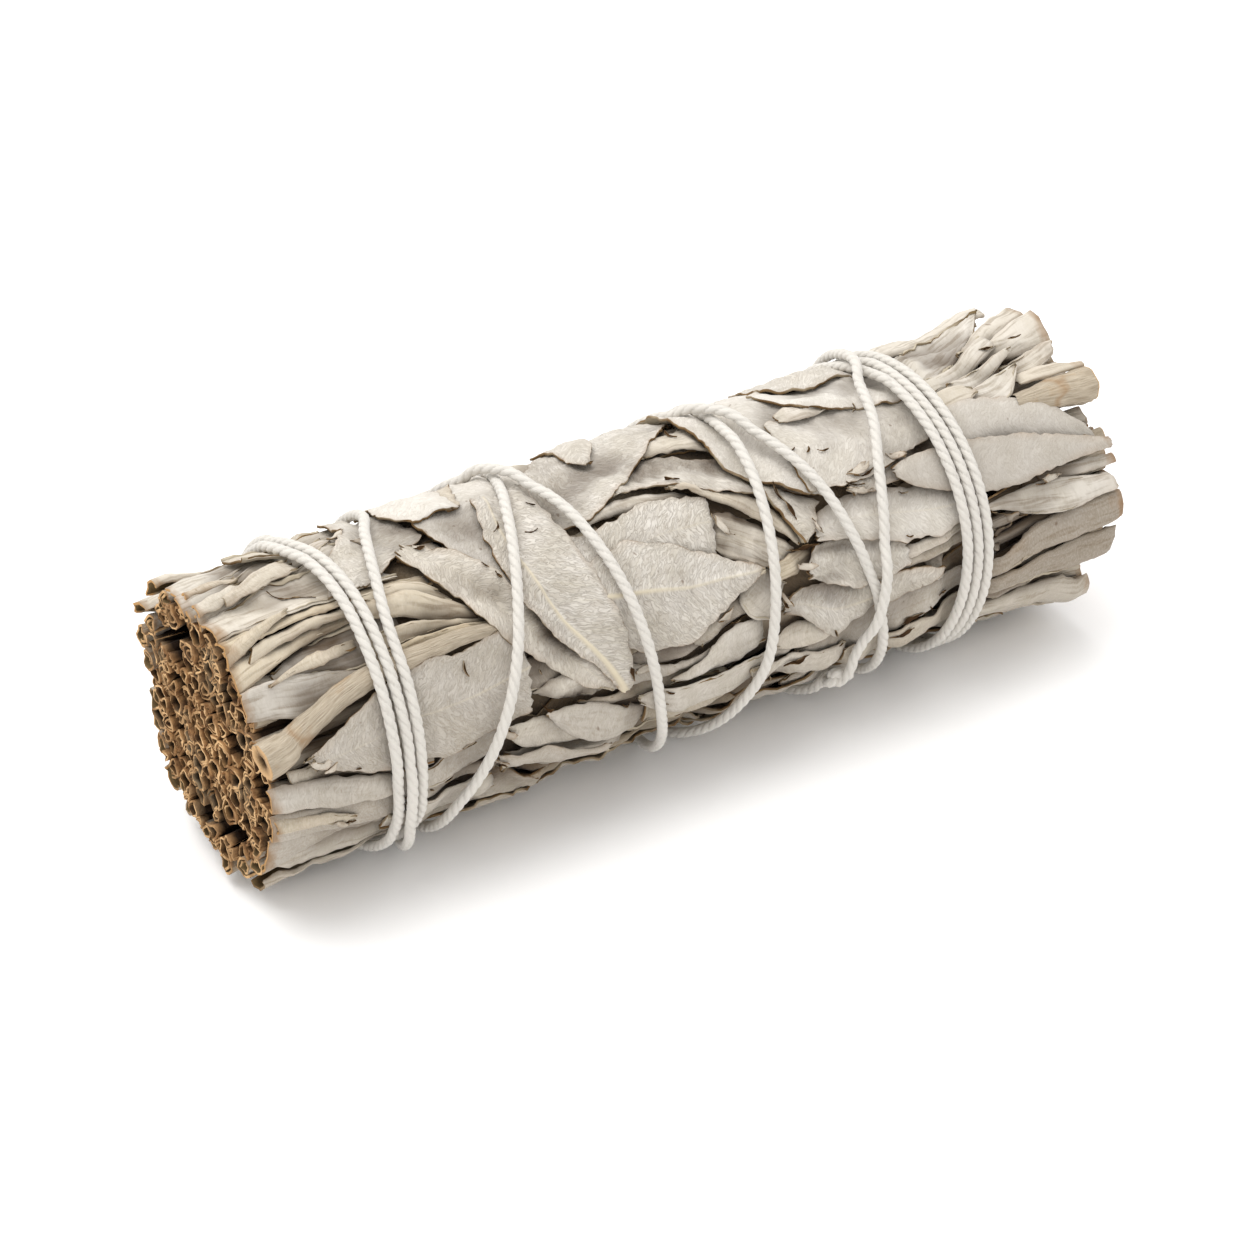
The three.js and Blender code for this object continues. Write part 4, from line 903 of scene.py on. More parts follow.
     [(32, 97), (36.5, 95), (41, 92.5), (45, 90.5), (50, 88.5)], 0.9, -0.75),
    ("skirt_far_q", [(32.5, 67), (36, 65.8), (40, 64.5), (44, 66), (49, 70)],
     [(33, 68.5), (36, 71.5), (39.5, 77.5), (43, 79), (49.5, 76)], 0.6, 0.08),
    ("leaf_far_upper", [(30.5, 25), (34, 23), (38, 25.5), (41.5, 30), (44.5, 37), (47.5, 47)],
     [(30.5, 46), (34, 48), (39, 50), (43, 52), (46, 54), (48.5, 55)],
     0.5, -0.3, dict(crumple=0.09, plain=0.8, follow=(5, 9))),
    ("leaf_far_broad",
     [(23.9, 41), (26.5, 38.5), (30, 37.5), (34, 40), (38, 42), (42, 46.5), (46, 51.5), (49.4, 56)],
     [(23.9, 44), (26.5, 51), (29.5, 56), (33, 60), (37, 63), (41, 61), (45, 60), (49.4, 59.5)],
     0.5, -0.42, dict(crumple=0.07, curl=(0.15, 0), plain=0.8, follow=(6, 10))),
]
lay_all(UPPER_LEAVES)
print("leaves of the near side:", len(front))

# %% [markdown]
# Dry leaves crack where they are bent and crumble at their margins. Small slits and holes show in
# them, and curled scraps lie on them. Each is a leaf too, only a tiny one, so the same function
# lays it; a slit or hole is a thin sheet painted near-black, as the shade in the hollow behind it.
# A row gives its place in mm along and degrees round, its length, width, heading in degrees and
# how far it is bent, in mm.

# %% Slits, holes and scraps
SLITS = [
    (-26.5, 8.3, 1.3, 0.5, 15, 0.1), (-21.6, 25, 0.9, 0.4, 60, 0.1), (-20.9, 30.5, 0.8, 0.35, 70, 0.1),
    (-18.4, 10.4, 1.3, 0.25, -50, 0.3), (-16.7, 12, 1.0, 0.22, 70, 0.2), (-49, 25.6, 1.6, 0.8, 15, 0.2),
    (-40.6, 10, 4.6, 0.18, 32, 0.35), (-13.7, 6, 0.9, 0.28, 30, 0.2), (-15.5, 18, 1.4, 0.25, 15, 0.3),
    (-27.6, 60, 1.7, 0.14, 80, 0.25), (-40.7, 81.5, 0.6, 0.3, 20, 0), (-41.6, 105, 1.1, 0.7, 20, 0.1),
    (-19.8, 71, 0.8, 0.25, 70, 0), (-23.9, 90.5, 1.1, 0.6, 60, 0.2), (-24.7, 104.7, 1.2, 0.5, 60, 0.2),
    (-19.4, 86.8, 0.9, 0.3, 20, 0.2), (-28.6, 89.5, 1.6, 0.25, -5, 0.2), (-30.5, 106, 0.9, 0.4, 10, 0),
    (-32.5, 106.5, 0.7, 0.35, 40, 0), (5.2, -10, 1.8, 0.3, 80, 0.3), (14.5, 20, 0.9, 0.22, 5, 0.15),
    (16.1, 22.7, 0.7, 0.2, -60, 0.1), (0.7, 17.3, 1.4, 0.25, 35, 0.2), (10.7, 36, 2.6, 0.5, 78, 0.2),
    (10.9, 43, 1.8, 0.4, 80, -0.2), (3.1, 37, 1.1, 0.25, 60, 0.2), (-10.3, 83, 1.4, 0.5, 80, 0),
    (-6, 96.8, 0.8, 0.35, 20, 0.1), (-6.3, 101.6, 0.8, 0.25, 60, 0.2), (-10.6, 97.2, 1.0, 0.3, 10, 0.2),
    (9.4, 105, 2.8, 0.7, -15, 0.1), (6.5, 110, 1.1, 0.35, 60, 0.1), (11, 57.8, 3.6, 0.45, 5, 0.1),
    (8.4, 78.5, 1.0, 0.25, 60, 0.1), (13.6, 95.8, 0.8, 0.25, 70, 0), (2, 77.3, 1.0, 0.25, 10, 0.1),
    (11.1, 67.5, 1.0, 0.3, 70, 0.1), (24.3, 8.4, 1.0, 0.3, -60, 0.2), (25.7, 36.4, 0.9, 0.4, -70, 0.2),
    (21, 37.5, 3.2, 0.22, -8, 0.4), (19.4, 41, 2.2, 0.2, 20, 0.2), (17.6, 24.3, 1.5, 0.16, 15, 0.2),
    (42.3, 2.6, 1.6, 0.35, 8, 0.2), (45.8, 3.6, 1.4, 0.3, 5, 0.1), (24.3, 106.7, 2.6, 0.7, -12, 0),
    (23, 112.3, 2.8, 0.7, -16, 0), (26.4, 104, 0.9, 0.4, 60, 0), (28, 100.2, 1.2, 0.4, 10, 0),
    (23.4, 66.7, 0.9, 0.2, 10, 0.1), (24.4, 50, 1.2, 0.3, 20, 0.15), (41, 65.2, 1.9, 0.3, 3, 0.15),
    (34.2, 69, 1.7, 0.3, 35, 0.2), (37, 77.5, 3.2, 1.0, -4, 0.1), (34.8, 82.5, 1.5, 0.6, 20, 0.1),
]
SCRAPS = [
    (-44.5, 74, 2.2, 0.9, 15, 0.3), (-43.6, 77.5, 1.4, 0.6, -20, 0.2),
    (-24.3, 89.6, 1.5, 0.6, 35, 0.3), (-25.2, 103.4, 1.7, 0.6, 25, 0.3),
    (-42.3, 103.8, 1.6, 0.5, 25, 0.2), (-30.8, -8, 1.8, 0.8, -30, 0.3), (-32.4, -15, 2.2, 0.8, -20, 0.3),
    (-46.8, 125.5, 1.6, 0.9, 60, 0.1), (-45.6, 126.5, 1.6, 0.8, 60, 0.1), (20.5, 35.5, 2.6, 0.8, -12, 0.3),
    (25.3, 35.3, 2.0, 0.8, 30, 0.2), (19.6, 43.6, 2.4, 0.7, 15, 0.2), (3.6, 41, 2.4, 0.8, 60, 0.3),
    (1.2, 73, 1.8, 0.7, -30, 0.3), (8.6, 76.5, 1.6, 0.5, 70, 0.2), (10.9, 64.5, 1.8, 0.6, 20, 0.2),
    (13.4, 52.5, 1.6, 0.6, 60, 0.2), (33.6, 76, 2.4, 0.9, 40, 0.3), (35.8, 80.5, 2.4, 0.8, -15, 0.3),
    (36.6, 75, 2.0, 0.7, 10, 0.3), (34.6, 86, 1.8, 0.7, 10, 0.2), (42, 63.6, 2.8, 0.8, 3, 0.15),
    (-8.6, 84.2, 2.0, 0.7, 10, 0.2),
]
SLIT_SHARE = 0.62
slits, scraps = [], []
for x, degrees, long, wide, turned, bend in SLITS:
    slits.append(plain_leaf(
        x, degrees, long, SLIT_SHARE * wide, turned, 1.3, bend, arch=0.0, crumple=0.02,
        torn=(0.15, 0.15), tone=0, thick=0.08, coarse=0.45, follow=(1, 1), seed=6000 + len(slits)))
for x, degrees, long, wide, turned, bend in SCRAPS:
    scraps.append(plain_leaf(
        x, degrees, long, wide, turned, 0.6, bend, arch=0.16, crumple=0.2, torn=(0.35, 0.35),
        thick=0.12, coarse=0.45, tone=0.2, streaky=0.4, plain=0.6, follow=(1, 1),
        seed=7000 + len(scraps)))
print("slits and holes:", len(slits), "and curled scraps:", len(scraps))

# %% [markdown]
# The pile is now as high as the leaves happened to lie. The twine presses the real bundle to an
# even girth, so every height is moved: the outside of the pile comes to the girth that we want,
# and what lies deeper keeps its distance from the outside, pressed together where the pile is
# thick. Under the twine the girth is smaller, so the leaves swell a little between its turns.

# %% Bind the pile
GIRTH_CELLS = 11
SPLAY_NEAR = 0.4
SPLAY_FAR = 0.9
CROWN = 0.45
CROWN_DEGREES = -40
FAR_OFF = 9.0
SEAM_CELLS = 9
UNDER_TWINE = TWINE_RADIUS - TWINE_DIAMETER / 2 - 0.02
PRESSED_WITHIN = 0.3
FREE_BEYOND = 2.6
twine_distance = np.full(pile.shape, FAR_OFF)
REACH_CELLS = 14
offsets = np.arange(-REACH_CELLS, REACH_CELLS + 1)
for (x, arc), lifted in zip(twine_path[::2], twine_heights[::2]):
    row, column = int((x + PILE_REACH) / CELL), int((arc % TURN) / ARC_CELL)
    rows, columns = row + offsets, (column + offsets) % PILE_COLUMNS
    away = np.hypot((cell_x[rows] - x)[:, None], across_turn(cell_arc[columns] - arc)[None, :])
    away = away + 1.5 * max(lifted, 0)
    near = np.ix_(rows, columns)
    twine_distance[near] = np.minimum(twine_distance[near], away)
supported_rows = np.clip(np.arange(PILE_ROWS), *(round((s + PILE_REACH) / CELL)
                                                 for s in (-SUPPORTED, SUPPORTED)))
wrapped = np.pad(pile[supported_rows], ((0, 0), (3 * GIRTH_CELLS, 3 * GIRTH_CELLS)), "wrap")
outside = soften(spread(wrapped, GIRTH_CELLS), GIRTH_CELLS)[:, 3 * GIRTH_CELLS:-3 * GIRTH_CELLS]
bulge = 0.2 * unevenness(cell_x[:, None], 15 * np.sin(cell_arc / MEAN_RADIUS)[None, :], 11, 5)
bulge = bulge + 0.2 * unevenness(cell_x[:, None], 15 * np.cos(cell_arc / MEAN_RADIUS)[None, :], 13, 6)
from_crown = np.abs(across_turn(cell_arc - CROWN_DEGREES * MM_PER_DEGREE)) / MM_PER_DEGREE
free_girth = LEAF_RADIUS + bulge + CROWN * smooth_step(60, 25, from_crown)[None, :]
on_crown = smooth_step(45, 25, from_crown)[None, :]
girth = UNDER_TWINE + (free_girth - UNDER_TWINE) * smooth_step(
    PRESSED_WITHIN - 0.2 * on_crown, FREE_BEYOND - 1.4 * on_crown, twine_distance)
girth = np.pad(girth, ((0, 0), (SEAM_CELLS, SEAM_CELLS)), "wrap")
girth = soften(girth, 1)[:, SEAM_CELLS:-SEAM_CELLS]
squeeze = np.minimum(1, (girth - core) / (outside - core))


def bound(x, arc, height):
    """The bound radius and how deep below the outside it is, for a height on the pile. Near the cut ends
    the depth is cut down, and it sets the painted shade of buried leaves.
    """
    girth_here = surface_under(x, arc, girth, 0, 0)
    outside_here = surface_under(x, arc, outside, 0, 0)
    squeeze_here = surface_under(x, arc, squeeze, 0, 0)
    deep = (outside_here - height) * squeeze_here
    splayed = np.where(x > 0, SPLAY_FAR, SPLAY_NEAR) * smooth_step(SUPPORTED - 3, LENGTH / 2, abs(x))
    # lit: near the cut ends light reaches in, so a buried leaf gets less painted shade there.
    lit = 1 - 0.65 * smooth_step(SUPPORTED, LENGTH / 2 - 2, abs(x))
    return girth_here - deep + splayed, deep * lit


print("pile was", round(float(pile.max()), 2), "mm at most; bound it reaches",
      round(float(girth.max()), 2), "mm")

# %% [markdown]
# Now the grids become meshes. An operator makes each flat grid, and its points are moved to their
# places in one go. Attributes keep where each point is on its leaf, in millimetres, so that
# veins and rims can be drawn along it. Solidify gives the leaf its thickness, inwards, and the
# cut rim gets a material of its own.

# %% Leaf meshes
def mesh_of_grids(name, grids):
    """One mesh of flat grids, whose points are moved to given places in metres"""
    maker = bmesh.new()
    for grid in grids:
        rows, columns = grid.shape[:2]
        bmesh.ops.create_grid(maker, x_segments=columns - 1, y_segments=rows - 1, size=1)
    mesh = bpy.data.meshes.new(name)
    maker.to_mesh(mesh)
    maker.free()
    points = np.concatenate([grid.reshape(-1, 3) for grid in grids])
    mesh.vertices.foreach_set("co", points.astype(np.float32).ravel())
    mesh.polygons.foreach_set("use_smooth", np.ones(len(mesh.polygons), bool))
    mesh.update()
    return mesh


def new_piece(name, mesh, materials):
    """A piece of the bundle with its materials"""
    for material in materials:
        mesh.materials.append(material)
    piece = bpy.data.objects.new(name, mesh)
    bpy.context.scene.collection.objects.link(piece)
    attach(piece, "root")
    return piece


def thicken(piece, thickness, inside):
    """Gives leaves their thickness, inwards. inside is the number of the material in there."""
    solid = piece.modifiers.new("thickness", "SOLIDIFY")
    solid.thickness = thickness * MM
    solid.offset = -1
    solid.material_offset_rim = 1
    solid.material_offset = inside


def grid_object(name, grids, materials):
    """One piece of several laid leaves"""
    points, blades, looks, kinds = [], [], [], []
    for grid in grids:
        radius, deep = bound(grid["x"], grid["arc"], grid["height"])
        same = np.ones(radius.shape)
        points.append(place(grid["x"], grid["arc"], radius))
        blades.append([grid["along"], grid["from_rib"], grid["to_edge"]])
        # The middle look value is how deep the leaf lies, which sets its painted shade.
        looks.append([grid["tone"] * same, np.clip(deep / 3, 0, 1), grid["seed"] % 97 / 97 * same])
        kinds.append([grid["ribbed"] * same, grid["streaky"] * same, grid["plain"] * same])
    mesh = mesh_of_grids(name, points)
    for label, fields in (("blade", blades), ("look", looks), ("kind", kinds)):
        values = np.concatenate([np.stack(field, -1).reshape(-1, 3) for field in fields])
        attribute = mesh.attributes.new(label, "FLOAT_VECTOR", "POINT")
        attribute.data.foreach_set("vector", values.astype(np.float32).ravel())
    piece = new_piece(name, mesh, materials)
    thicken(piece, grids[0]["thick"], 2 if len(materials) > 2 else 0)
    return piece


# %% [markdown]
# White sage dries to a pale warm grey. Its leaves are felted with tiny hairs, which make them
# matt, and they shrink into fine short wrinkles that run off the midrib like the side veins. On
# some leaves the midrib is a cream ridge. Rolled leaves have their wrinkles lengthwise. Where a
# leaf was cut or torn, and along its margin, it is brown, and a tan band inside the margin is
# partly painted shade where leaves meet. Painted shade darkens the leaves that lie deep in the
# bundle or low near the table, and the hollows of the wrinkles, and a painted highlight lightens
# the crests of the felt. Every pattern is drawn from the millimetres that the mesh keeps, so it
# follows the leaf.

# %% Dried sage leaf
WRINKLE_MM = 0.28
WRINKLE_LONG_MM = 0.8
NET_MM = 0.42
STREAK_MM = 0.3
STREAK_LONG_MM = 5.0
SIDE_VEIN_MM = 2.1
RIB_HALF_MM = 0.24
RIB_HIGH = 1.2
WANDERS_PER_MM = 0.7
PATCHES_PER_MM = 0.3
HAIRS_PER_MM = 6.0
CLOUDS_PER_MM = 0.26
FLECKS_PER_MM = 1.1
LEAVES_APART_MM = 310.0
# Felted dry leaf: matt warm grey with fine wrinkles, which the hairs soften.
sage, tree = new_material("dried_sage_leaf")
blade = add(tree, "Attribute", attribute_name="blade").outputs["Vector"]
look = add(tree, "Attribute", attribute_name="look").outputs["Vector"]
kind = add(tree, "Attribute", attribute_name="kind").outputs["Vector"]
along, from_rib, to_edge = add(tree, "SeparateXYZ", {0: blade}).outputs
tone, deep, own = add(tree, "SeparateXYZ", {0: look}).outputs
ribbed, streaky, plain = add(tree, "SeparateXYZ", {0: kind}).outputs
# Every leaf has its own place in the patterns, which run in mm along it and across it.
own_shift = add(tree, "Math", {0: own, 1: LEAVES_APART_MM}, operation="MULTIPLY")
signed = add(tree, "Math", {0: from_rib, 1: own_shift})
flat = add(tree, "CombineXYZ", {0: along, 1: signed})
wander = add(tree, "TexNoise", {"Vector": flat, "Scale": WANDERS_PER_MM, "Detail": 2.0})
# The wrinkles slant away from the midrib, as side veins do.
aside = add(tree, "Math", {0: from_rib}, operation="ABSOLUTE")
feathered = add(tree, "Math", {0: aside, 1: -0.75, 2: along}, operation="MULTIPLY_ADD")
bent = add(tree, "Math", {0: wander, 1: 1.3, 2: feathered}, operation="MULTIPLY_ADD")
across_wrinkles = add(tree, "Math", {0: bent, 1: 1 / WRINKLE_MM}, operation="MULTIPLY")
along_wrinkles = add(tree, "Math", {0: signed, 1: 1 / WRINKLE_LONG_MM}, operation="MULTIPLY")
wrinkle_place = add(tree, "CombineXYZ", {0: across_wrinkles, 1: along_wrinkles})
wrinkles = add(tree, "TexNoise", {
    "Vector": wrinkle_place, "Scale": 1.0, "Detail": 1.5, "Roughness": 0.5, "Distortion": 0.45})
off_crease = add(tree, "Math", {0: wrinkles, 1: 0.5}, operation="SUBTRACT")
off_crease = add(tree, "Math", {0: off_crease}, operation="ABSOLUTE")
creases = add(tree, "MapRange", {0: off_crease, 1: 0.06, 2: 0.0})
# A fine net mixes with the wrinkles in patches. A rolled leaf has long streaks instead.
net = add(tree, "TexVoronoi", {
    "Vector": flat, "Scale": 1 / NET_MM, "Randomness": 1.0}, feature="SMOOTH_F1")
patches = add(tree, "TexNoise", {"Vector": flat, "Scale": PATCHES_PER_MM, "Detail": 2.0})
netted = add(tree, "MapRange", {0: patches, 1: 0.42, 2: 0.62})
streak_along = add(tree, "Math", {0: along, 1: 1 / STREAK_LONG_MM}, operation="MULTIPLY")
streak_across = add(tree, "Math", {0: signed, 1: 1 / STREAK_MM}, operation="MULTIPLY")
streak_place = add(tree, "CombineXYZ", {0: streak_along, 1: streak_across})
streaks = add(tree, "TexNoise", {"Vector": streak_place, "Scale": 1.0, "Detail": 2.0, "Distortion": 0.7})
relief = add(tree, "Mix", {0: streaky, 2: wrinkles, 3: streaks})
net_share = add(tree, "Math", {0: netted, 1: 0.45}, operation="MULTIPLY")
relief = add(tree, "Mix", {0: net_share, 2: relief, 3: net})
felt = add(tree, "TexNoise", {"Vector": flat, "Scale": HAIRS_PER_MM, "Detail": 2.0})
# The colour is a cloudy grey first. Tan and grey come over it, and painted shade makes the leaves that lie
# low, near the table, browner and darker.
clouds = add(tree, "TexNoise", {"Vector": flat, "Scale": CLOUDS_PER_MM, "Detail": 3.0})
cloudy = add(tree, "MapRange", {0: clouds, 1: 0.36, 2: 0.64})
colour = add(tree, "Mix", {0: cloudy, 6: linear("#BFB8AC"), 7: linear("#CFC9C0")}, data_type="RGBA")
# A leaf that dried smooth has kept its felt whole, so it is paler.
felted = add(tree, "MapRange", {0: plain, 1: 0.5, 2: 0.7, 3: 0.0, 4: 0.3})
colour = add(tree, "Mix", {0: felted, 6: colour, 7: linear("#E4E0D9")}, data_type="RGBA")
colour = add(tree, "Mix", {0: tone, 6: colour, 7: linear("#BFAF92")}, data_type="RGBA")
greyed = add(tree, "MapRange", {0: tone, 1: 0.0, 2: -1.0})
colour = add(tree, "Mix", {0: greyed, 6: colour, 7: linear("#85796A")}, data_type="RGBA")
where = add(tree, "TexCoord").outputs["Object"]
from_middle, _, above_table = add(tree, "SeparateXYZ", {0: where}).outputs
# Painted shade: leaves lower than 21 mm above the table darken towards brown.
painted_low_shade = add(tree, "MapRange", {0: above_table, 1: 21 * MM, 2: 10 * MM, 3: 0.0, 4: 0.25})
colour = add(tree, "Mix", {0: painted_low_shade, 6: colour, 7: linear("#7F715B")}, data_type="RGBA")
# Painted shade makes the hollows, creases and streaks browner, and a painted highlight makes the crests of
# the felt paler.
wrinkled = add(tree, "Math", {0: plain, 1: -0.7, 2: 1.0}, operation="MULTIPLY_ADD")
# hollows is painted shade in the low parts of the relief, in the creases and along the streaks.
hollows = add(tree, "MapRange", {0: relief, 1: 0.56, 2: 0.36, 3: 0.0, 4: 0.22})
unstreaked = add(tree, "Math", {0: 1.0, 1: streaky}, operation="SUBTRACT")
creases = add(tree, "Math", {0: creases, 1: unstreaked}, operation="MULTIPLY")
hollows = add(tree, "Math", {0: creases, 1: 0.4, 2: hollows}, operation="MULTIPLY_ADD")
hollows = add(tree, "Math", {0: hollows, 1: wrinkled}, operation="MULTIPLY")
lines = add(tree, "MapRange", {0: streaks, 1: 0.5, 2: 0.36, 3: 0.0, 4: 0.36})
hollows = add(tree, "Math", {0: lines, 1: streaky, 2: hollows}, operation="MULTIPLY_ADD")
colour = add(tree, "Mix", {0: hollows, 6: colour, 7: linear("#75644D")}, data_type="RGBA")
# Painted highlight on the raised crests of the felt.
painted_crest_highlight = add(tree, "MapRange", {0: felt, 1: 0.45, 2: 0.62, 3: 0.0, 4: 0.12})
colour = add(tree, "Mix", {0: painted_crest_highlight, 6: colour, 7: linear("#DAD6D0")}, data_type="RGBA")
# The side veins and the midrib are pale straw lines.
vein_turn = add(tree, "Math", {0: bent, 1: 2 * math.pi / SIDE_VEIN_MM}, operation="MULTIPLY")
vein_wave = add(tree, "Math", {0: vein_turn}, operation="SINE")
veins = add(tree, "MapRange", {0: vein_wave, 1: 0.86, 2: 1.0})
vein_share = add(tree, "Math", {0: veins, 1: ribbed}, operation="MULTIPLY")
vein_share = add(tree, "Math", {0: vein_share, 1: 0.22}, operation="MULTIPLY")
colour = add(tree, "Mix", {0: vein_share, 6: colour, 7: linear("#CFC8B6")}, data_type="RGBA")
rib_width = add(tree, "Math", {0: ribbed, 1: RIB_HALF_MM, 2: 0.08}, operation="MULTIPLY_ADD")
rib = add(tree, "MapRange", {0: aside, 1: rib_width, 2: 0.05})
rib_share = add(tree, "Math", {0: rib, 1: ribbed}, operation="MULTIPLY", use_clamp=True)
colour = add(tree, "Mix", {0: rib_share, 6: colour, 7: linear("#CEC3AC")}, data_type="RGBA")
# Brown flecks, a rim that has browned in stretches, and a tan margin inside it, which is partly the leaf's
# own browning and partly painted shade where leaves meet.
fleck_noise = add(tree, "TexNoise", {"Vector": flat, "Scale": FLECKS_PER_MM, "Detail": 1.0})
flecks = add(tree, "MapRange", {0: fleck_noise, 1: 0.75, 2: 0.8, 3: 0.0, 4: 0.5})
colour = add(tree, "Mix", {0: flecks, 6: colour, 7: linear("#5E4129")}, data_type="RGBA")
rim_noise = add(tree, "TexNoise", {"Vector": flat, "Scale": WANDERS_PER_MM, "Detail": 2.0})
rim_width = add(tree, "MapRange", {0: rim_noise, 1: 0.5, 2: 0.72, 3: 0.07, 4: 0.5})
rim = add(tree, "MapRange", {0: to_edge, 1: rim_width, 2: 0.0, 3: 0.0, 4: 0.8})
rim = add(tree, "Math", {0: rim, 1: wrinkled}, operation="MULTIPLY")
colour = add(tree, "Mix", {0: rim, 6: colour, 7: linear("#75593B")}, data_type="RGBA")
tan_margin_and_painted_shade = add(tree, "MapRange", {0: to_edge, 1: 1.1, 2: 0.1, 3: 0.0, 4: 0.3})
tan_margin_and_painted_shade = add(tree, "Math", {0: tan_margin_and_painted_shade, 1: cloudy}, operation="MULTIPLY")
colour = add(tree, "Mix", {0: tan_margin_and_painted_shade, 6: colour, 7: linear("#9C8160")}, data_type="RGBA")
# The leaf is ochre where the bundle was cut, and painted shade darkens it where others lie over it.
from_middle = add(tree, "Math", {0: from_middle}, operation="ABSOLUTE")
uneven_end = add(tree, "Math", {0: rim_noise, 1: 3 * MM, 2: from_middle}, operation="MULTIPLY_ADD")
at_cut = add(tree, "MapRange", {
    0: uneven_end, 1: (LENGTH / 2 + 0.3) * MM, 2: (LENGTH / 2 + 1.6) * MM, 3: 0.0, 4: 0.8})
colour = add(tree, "Mix", {0: at_cut, 6: colour, 7: linear("#8A6A47")}, data_type="RGBA")
# Painted shade: the deeper a leaf lies under others, the darker brown it is.
painted_buried_shade = add(tree, "MapRange", {0: deep, 1: 0.27, 2: 0.72, 3: 0.0, 4: 0.88})
colour = add(tree, "Mix", {0: painted_buried_shade, 6: colour, 7: linear("#46331C")}, data_type="RGBA")
# The relief has the same wrinkles, veins and felt, and the midrib stands over them.
low_relief = add(tree, "Math", {0: relief, 1: 0.75}, operation="MULTIPLY")
raised_veins = add(tree, "Math", {0: vein_share, 1: 1.2, 2: low_relief}, operation="MULTIPLY_ADD")
surface = add(tree, "Math", {0: felt, 1: 0.1, 2: raised_veins}, operation="MULTIPLY_ADD")
surface = add(tree, "Math", {0: creases, 1: -0.45, 2: surface}, operation="MULTIPLY_ADD")
surface = add(tree, "Mix", {0: rib_share, 2: surface, 3: RIB_HIGH})
bump = add(tree, "Bump", {"Height": surface, "Strength": wrinkled, "Distance": 0.105 * MM})
shader = add(tree, "BsdfPrincipled", {
    "Base Color": colour, "Roughness": 0.9, "Specular IOR Level": 0.2,
    "Sheen Weight": 0.1, "Sheen Roughness": 0.5, "Normal": bump})
add(tree, "OutputMaterial", {"Surface": shader})
print("leaf material:", len(tree.nodes), "nodes")

# %% [markdown]
# A leaf's rim has dried brown, with paler stretches, and is the colour of dry hay where the
# bundle was cut. The rolls that fill the cut ends have a brighter, spotted ochre rim. The inside
# of a rolled leaf is painted dark brown near the cut, as the shade in its mouth, and pale further
# in. Tears and slits are painted near-black, as the shade in the hollow behind them.

# %% Rims, insides and tears
OFF_CUT_FROM = 4.0
OFF_CUT_WHOLLY = 7.0
# A leaf browns first along its edge: thin dark and tan lines that draw every outline.
rim_material, tree = new_material("browned_leaf_rim")
where = add(tree, "TexCoord").outputs["Object"]
spots = add(tree, "TexNoise", {"Vector": where, "Scale": 0.42 / MM, "Detail": 3.0})
rim_colour = add(tree, "Mix", {0: spots, 6: linear("#4A3521"), 7: linear("#8F7552")}, data_type="RGBA")
broad = add(tree, "TexNoise", {"Vector": where, "Scale": 0.3 / MM, "Detail": 2.0})
unbrowned = add(tree, "MapRange", {0: broad, 1: 0.46, 2: 0.6, 3: 0.0, 4: 0.75})
rim_colour = add(tree, "Mix", {0: unbrowned, 6: rim_colour, 7: linear("#A39680")}, data_type="RGBA")
from_middle = add(tree, "SeparateXYZ", {0: where}).outputs[0]
from_middle = add(tree, "Math", {0: from_middle}, operation="ABSOLUTE")
at_cut = add(tree, "MapRange", {0: from_middle, 1: (LENGTH / 2 - 1.2) * MM, 2: (LENGTH / 2 - 0.6) * MM})
rim_colour = add(tree, "Mix", {0: at_cut, 6: rim_colour, 7: linear("#AF885A")}, data_type="RGBA")
shader = add(tree, "BsdfPrincipled", {
    "Base Color": rim_colour, "Roughness": 0.9, "Specular IOR Level": 0.15})
add(tree, "OutputMaterial", {"Surface": shader})

# Where a blade cut the leaf, it is fresh and pale: speckled ochre spirals at both ends.
cut_rim, tree = new_material("dried_leaf_cut_rim")
where = add(tree, "TexCoord").outputs["Object"]
spots = add(tree, "TexNoise", {"Vector": where, "Scale": 0.5 / MM, "Detail": 3.0})
spotted = add(tree, "MapRange", {0: spots, 1: 0.36, 2: 0.62})
ochre = add(tree, "Mix", {0: spotted, 6: linear("#7A5634"), 7: linear("#D3AD7E")}, data_type="RGBA")
shader = add(tree, "BsdfPrincipled", {"Base Color": ochre, "Roughness": 0.9, "Specular IOR Level": 0.15})
add(tree, "OutputMaterial", {"Surface": shader})

# The hidden side of a rolled leaf: painted shade makes it dusky in its mouth near the cut, so that the
# roll looks deep.
inside_material, tree = new_material("inside_of_rolled_leaf")
where = add(tree, "TexCoord").outputs["Object"]
spots = add(tree, "TexNoise", {"Vector": where, "Scale": 0.6 / MM, "Detail": 3.0})
inside_colour_and_painted_shade = add(tree, "Mix", {
    0: spots, 6: linear("#3E2C1B"), 7: linear("#85714F")}, data_type="RGBA")
from_middle = add(tree, "SeparateXYZ", {0: where}).outputs[0]
from_middle = add(tree, "Math", {0: from_middle}, operation="ABSOLUTE")
off_cut = add(tree, "MapRange", {
    0: from_middle, 1: (LENGTH / 2 - OFF_CUT_FROM) * MM, 2: (LENGTH / 2 - OFF_CUT_WHOLLY) * MM})
pale_inside = add(tree, "Mix", {0: spots, 6: linear("#93866F"), 7: linear("#C2B8A6")}, data_type="RGBA")
inside_colour_and_painted_shade = add(tree, "Mix", {0: off_cut, 6: inside_colour_and_painted_shade, 7: pale_inside}, data_type="RGBA")
shader = add(tree, "BsdfPrincipled", {
    "Base Color": inside_colour_and_painted_shade, "Roughness": 0.9, "Specular IOR Level": 0.15})
add(tree, "OutputMaterial", {"Surface": shader})

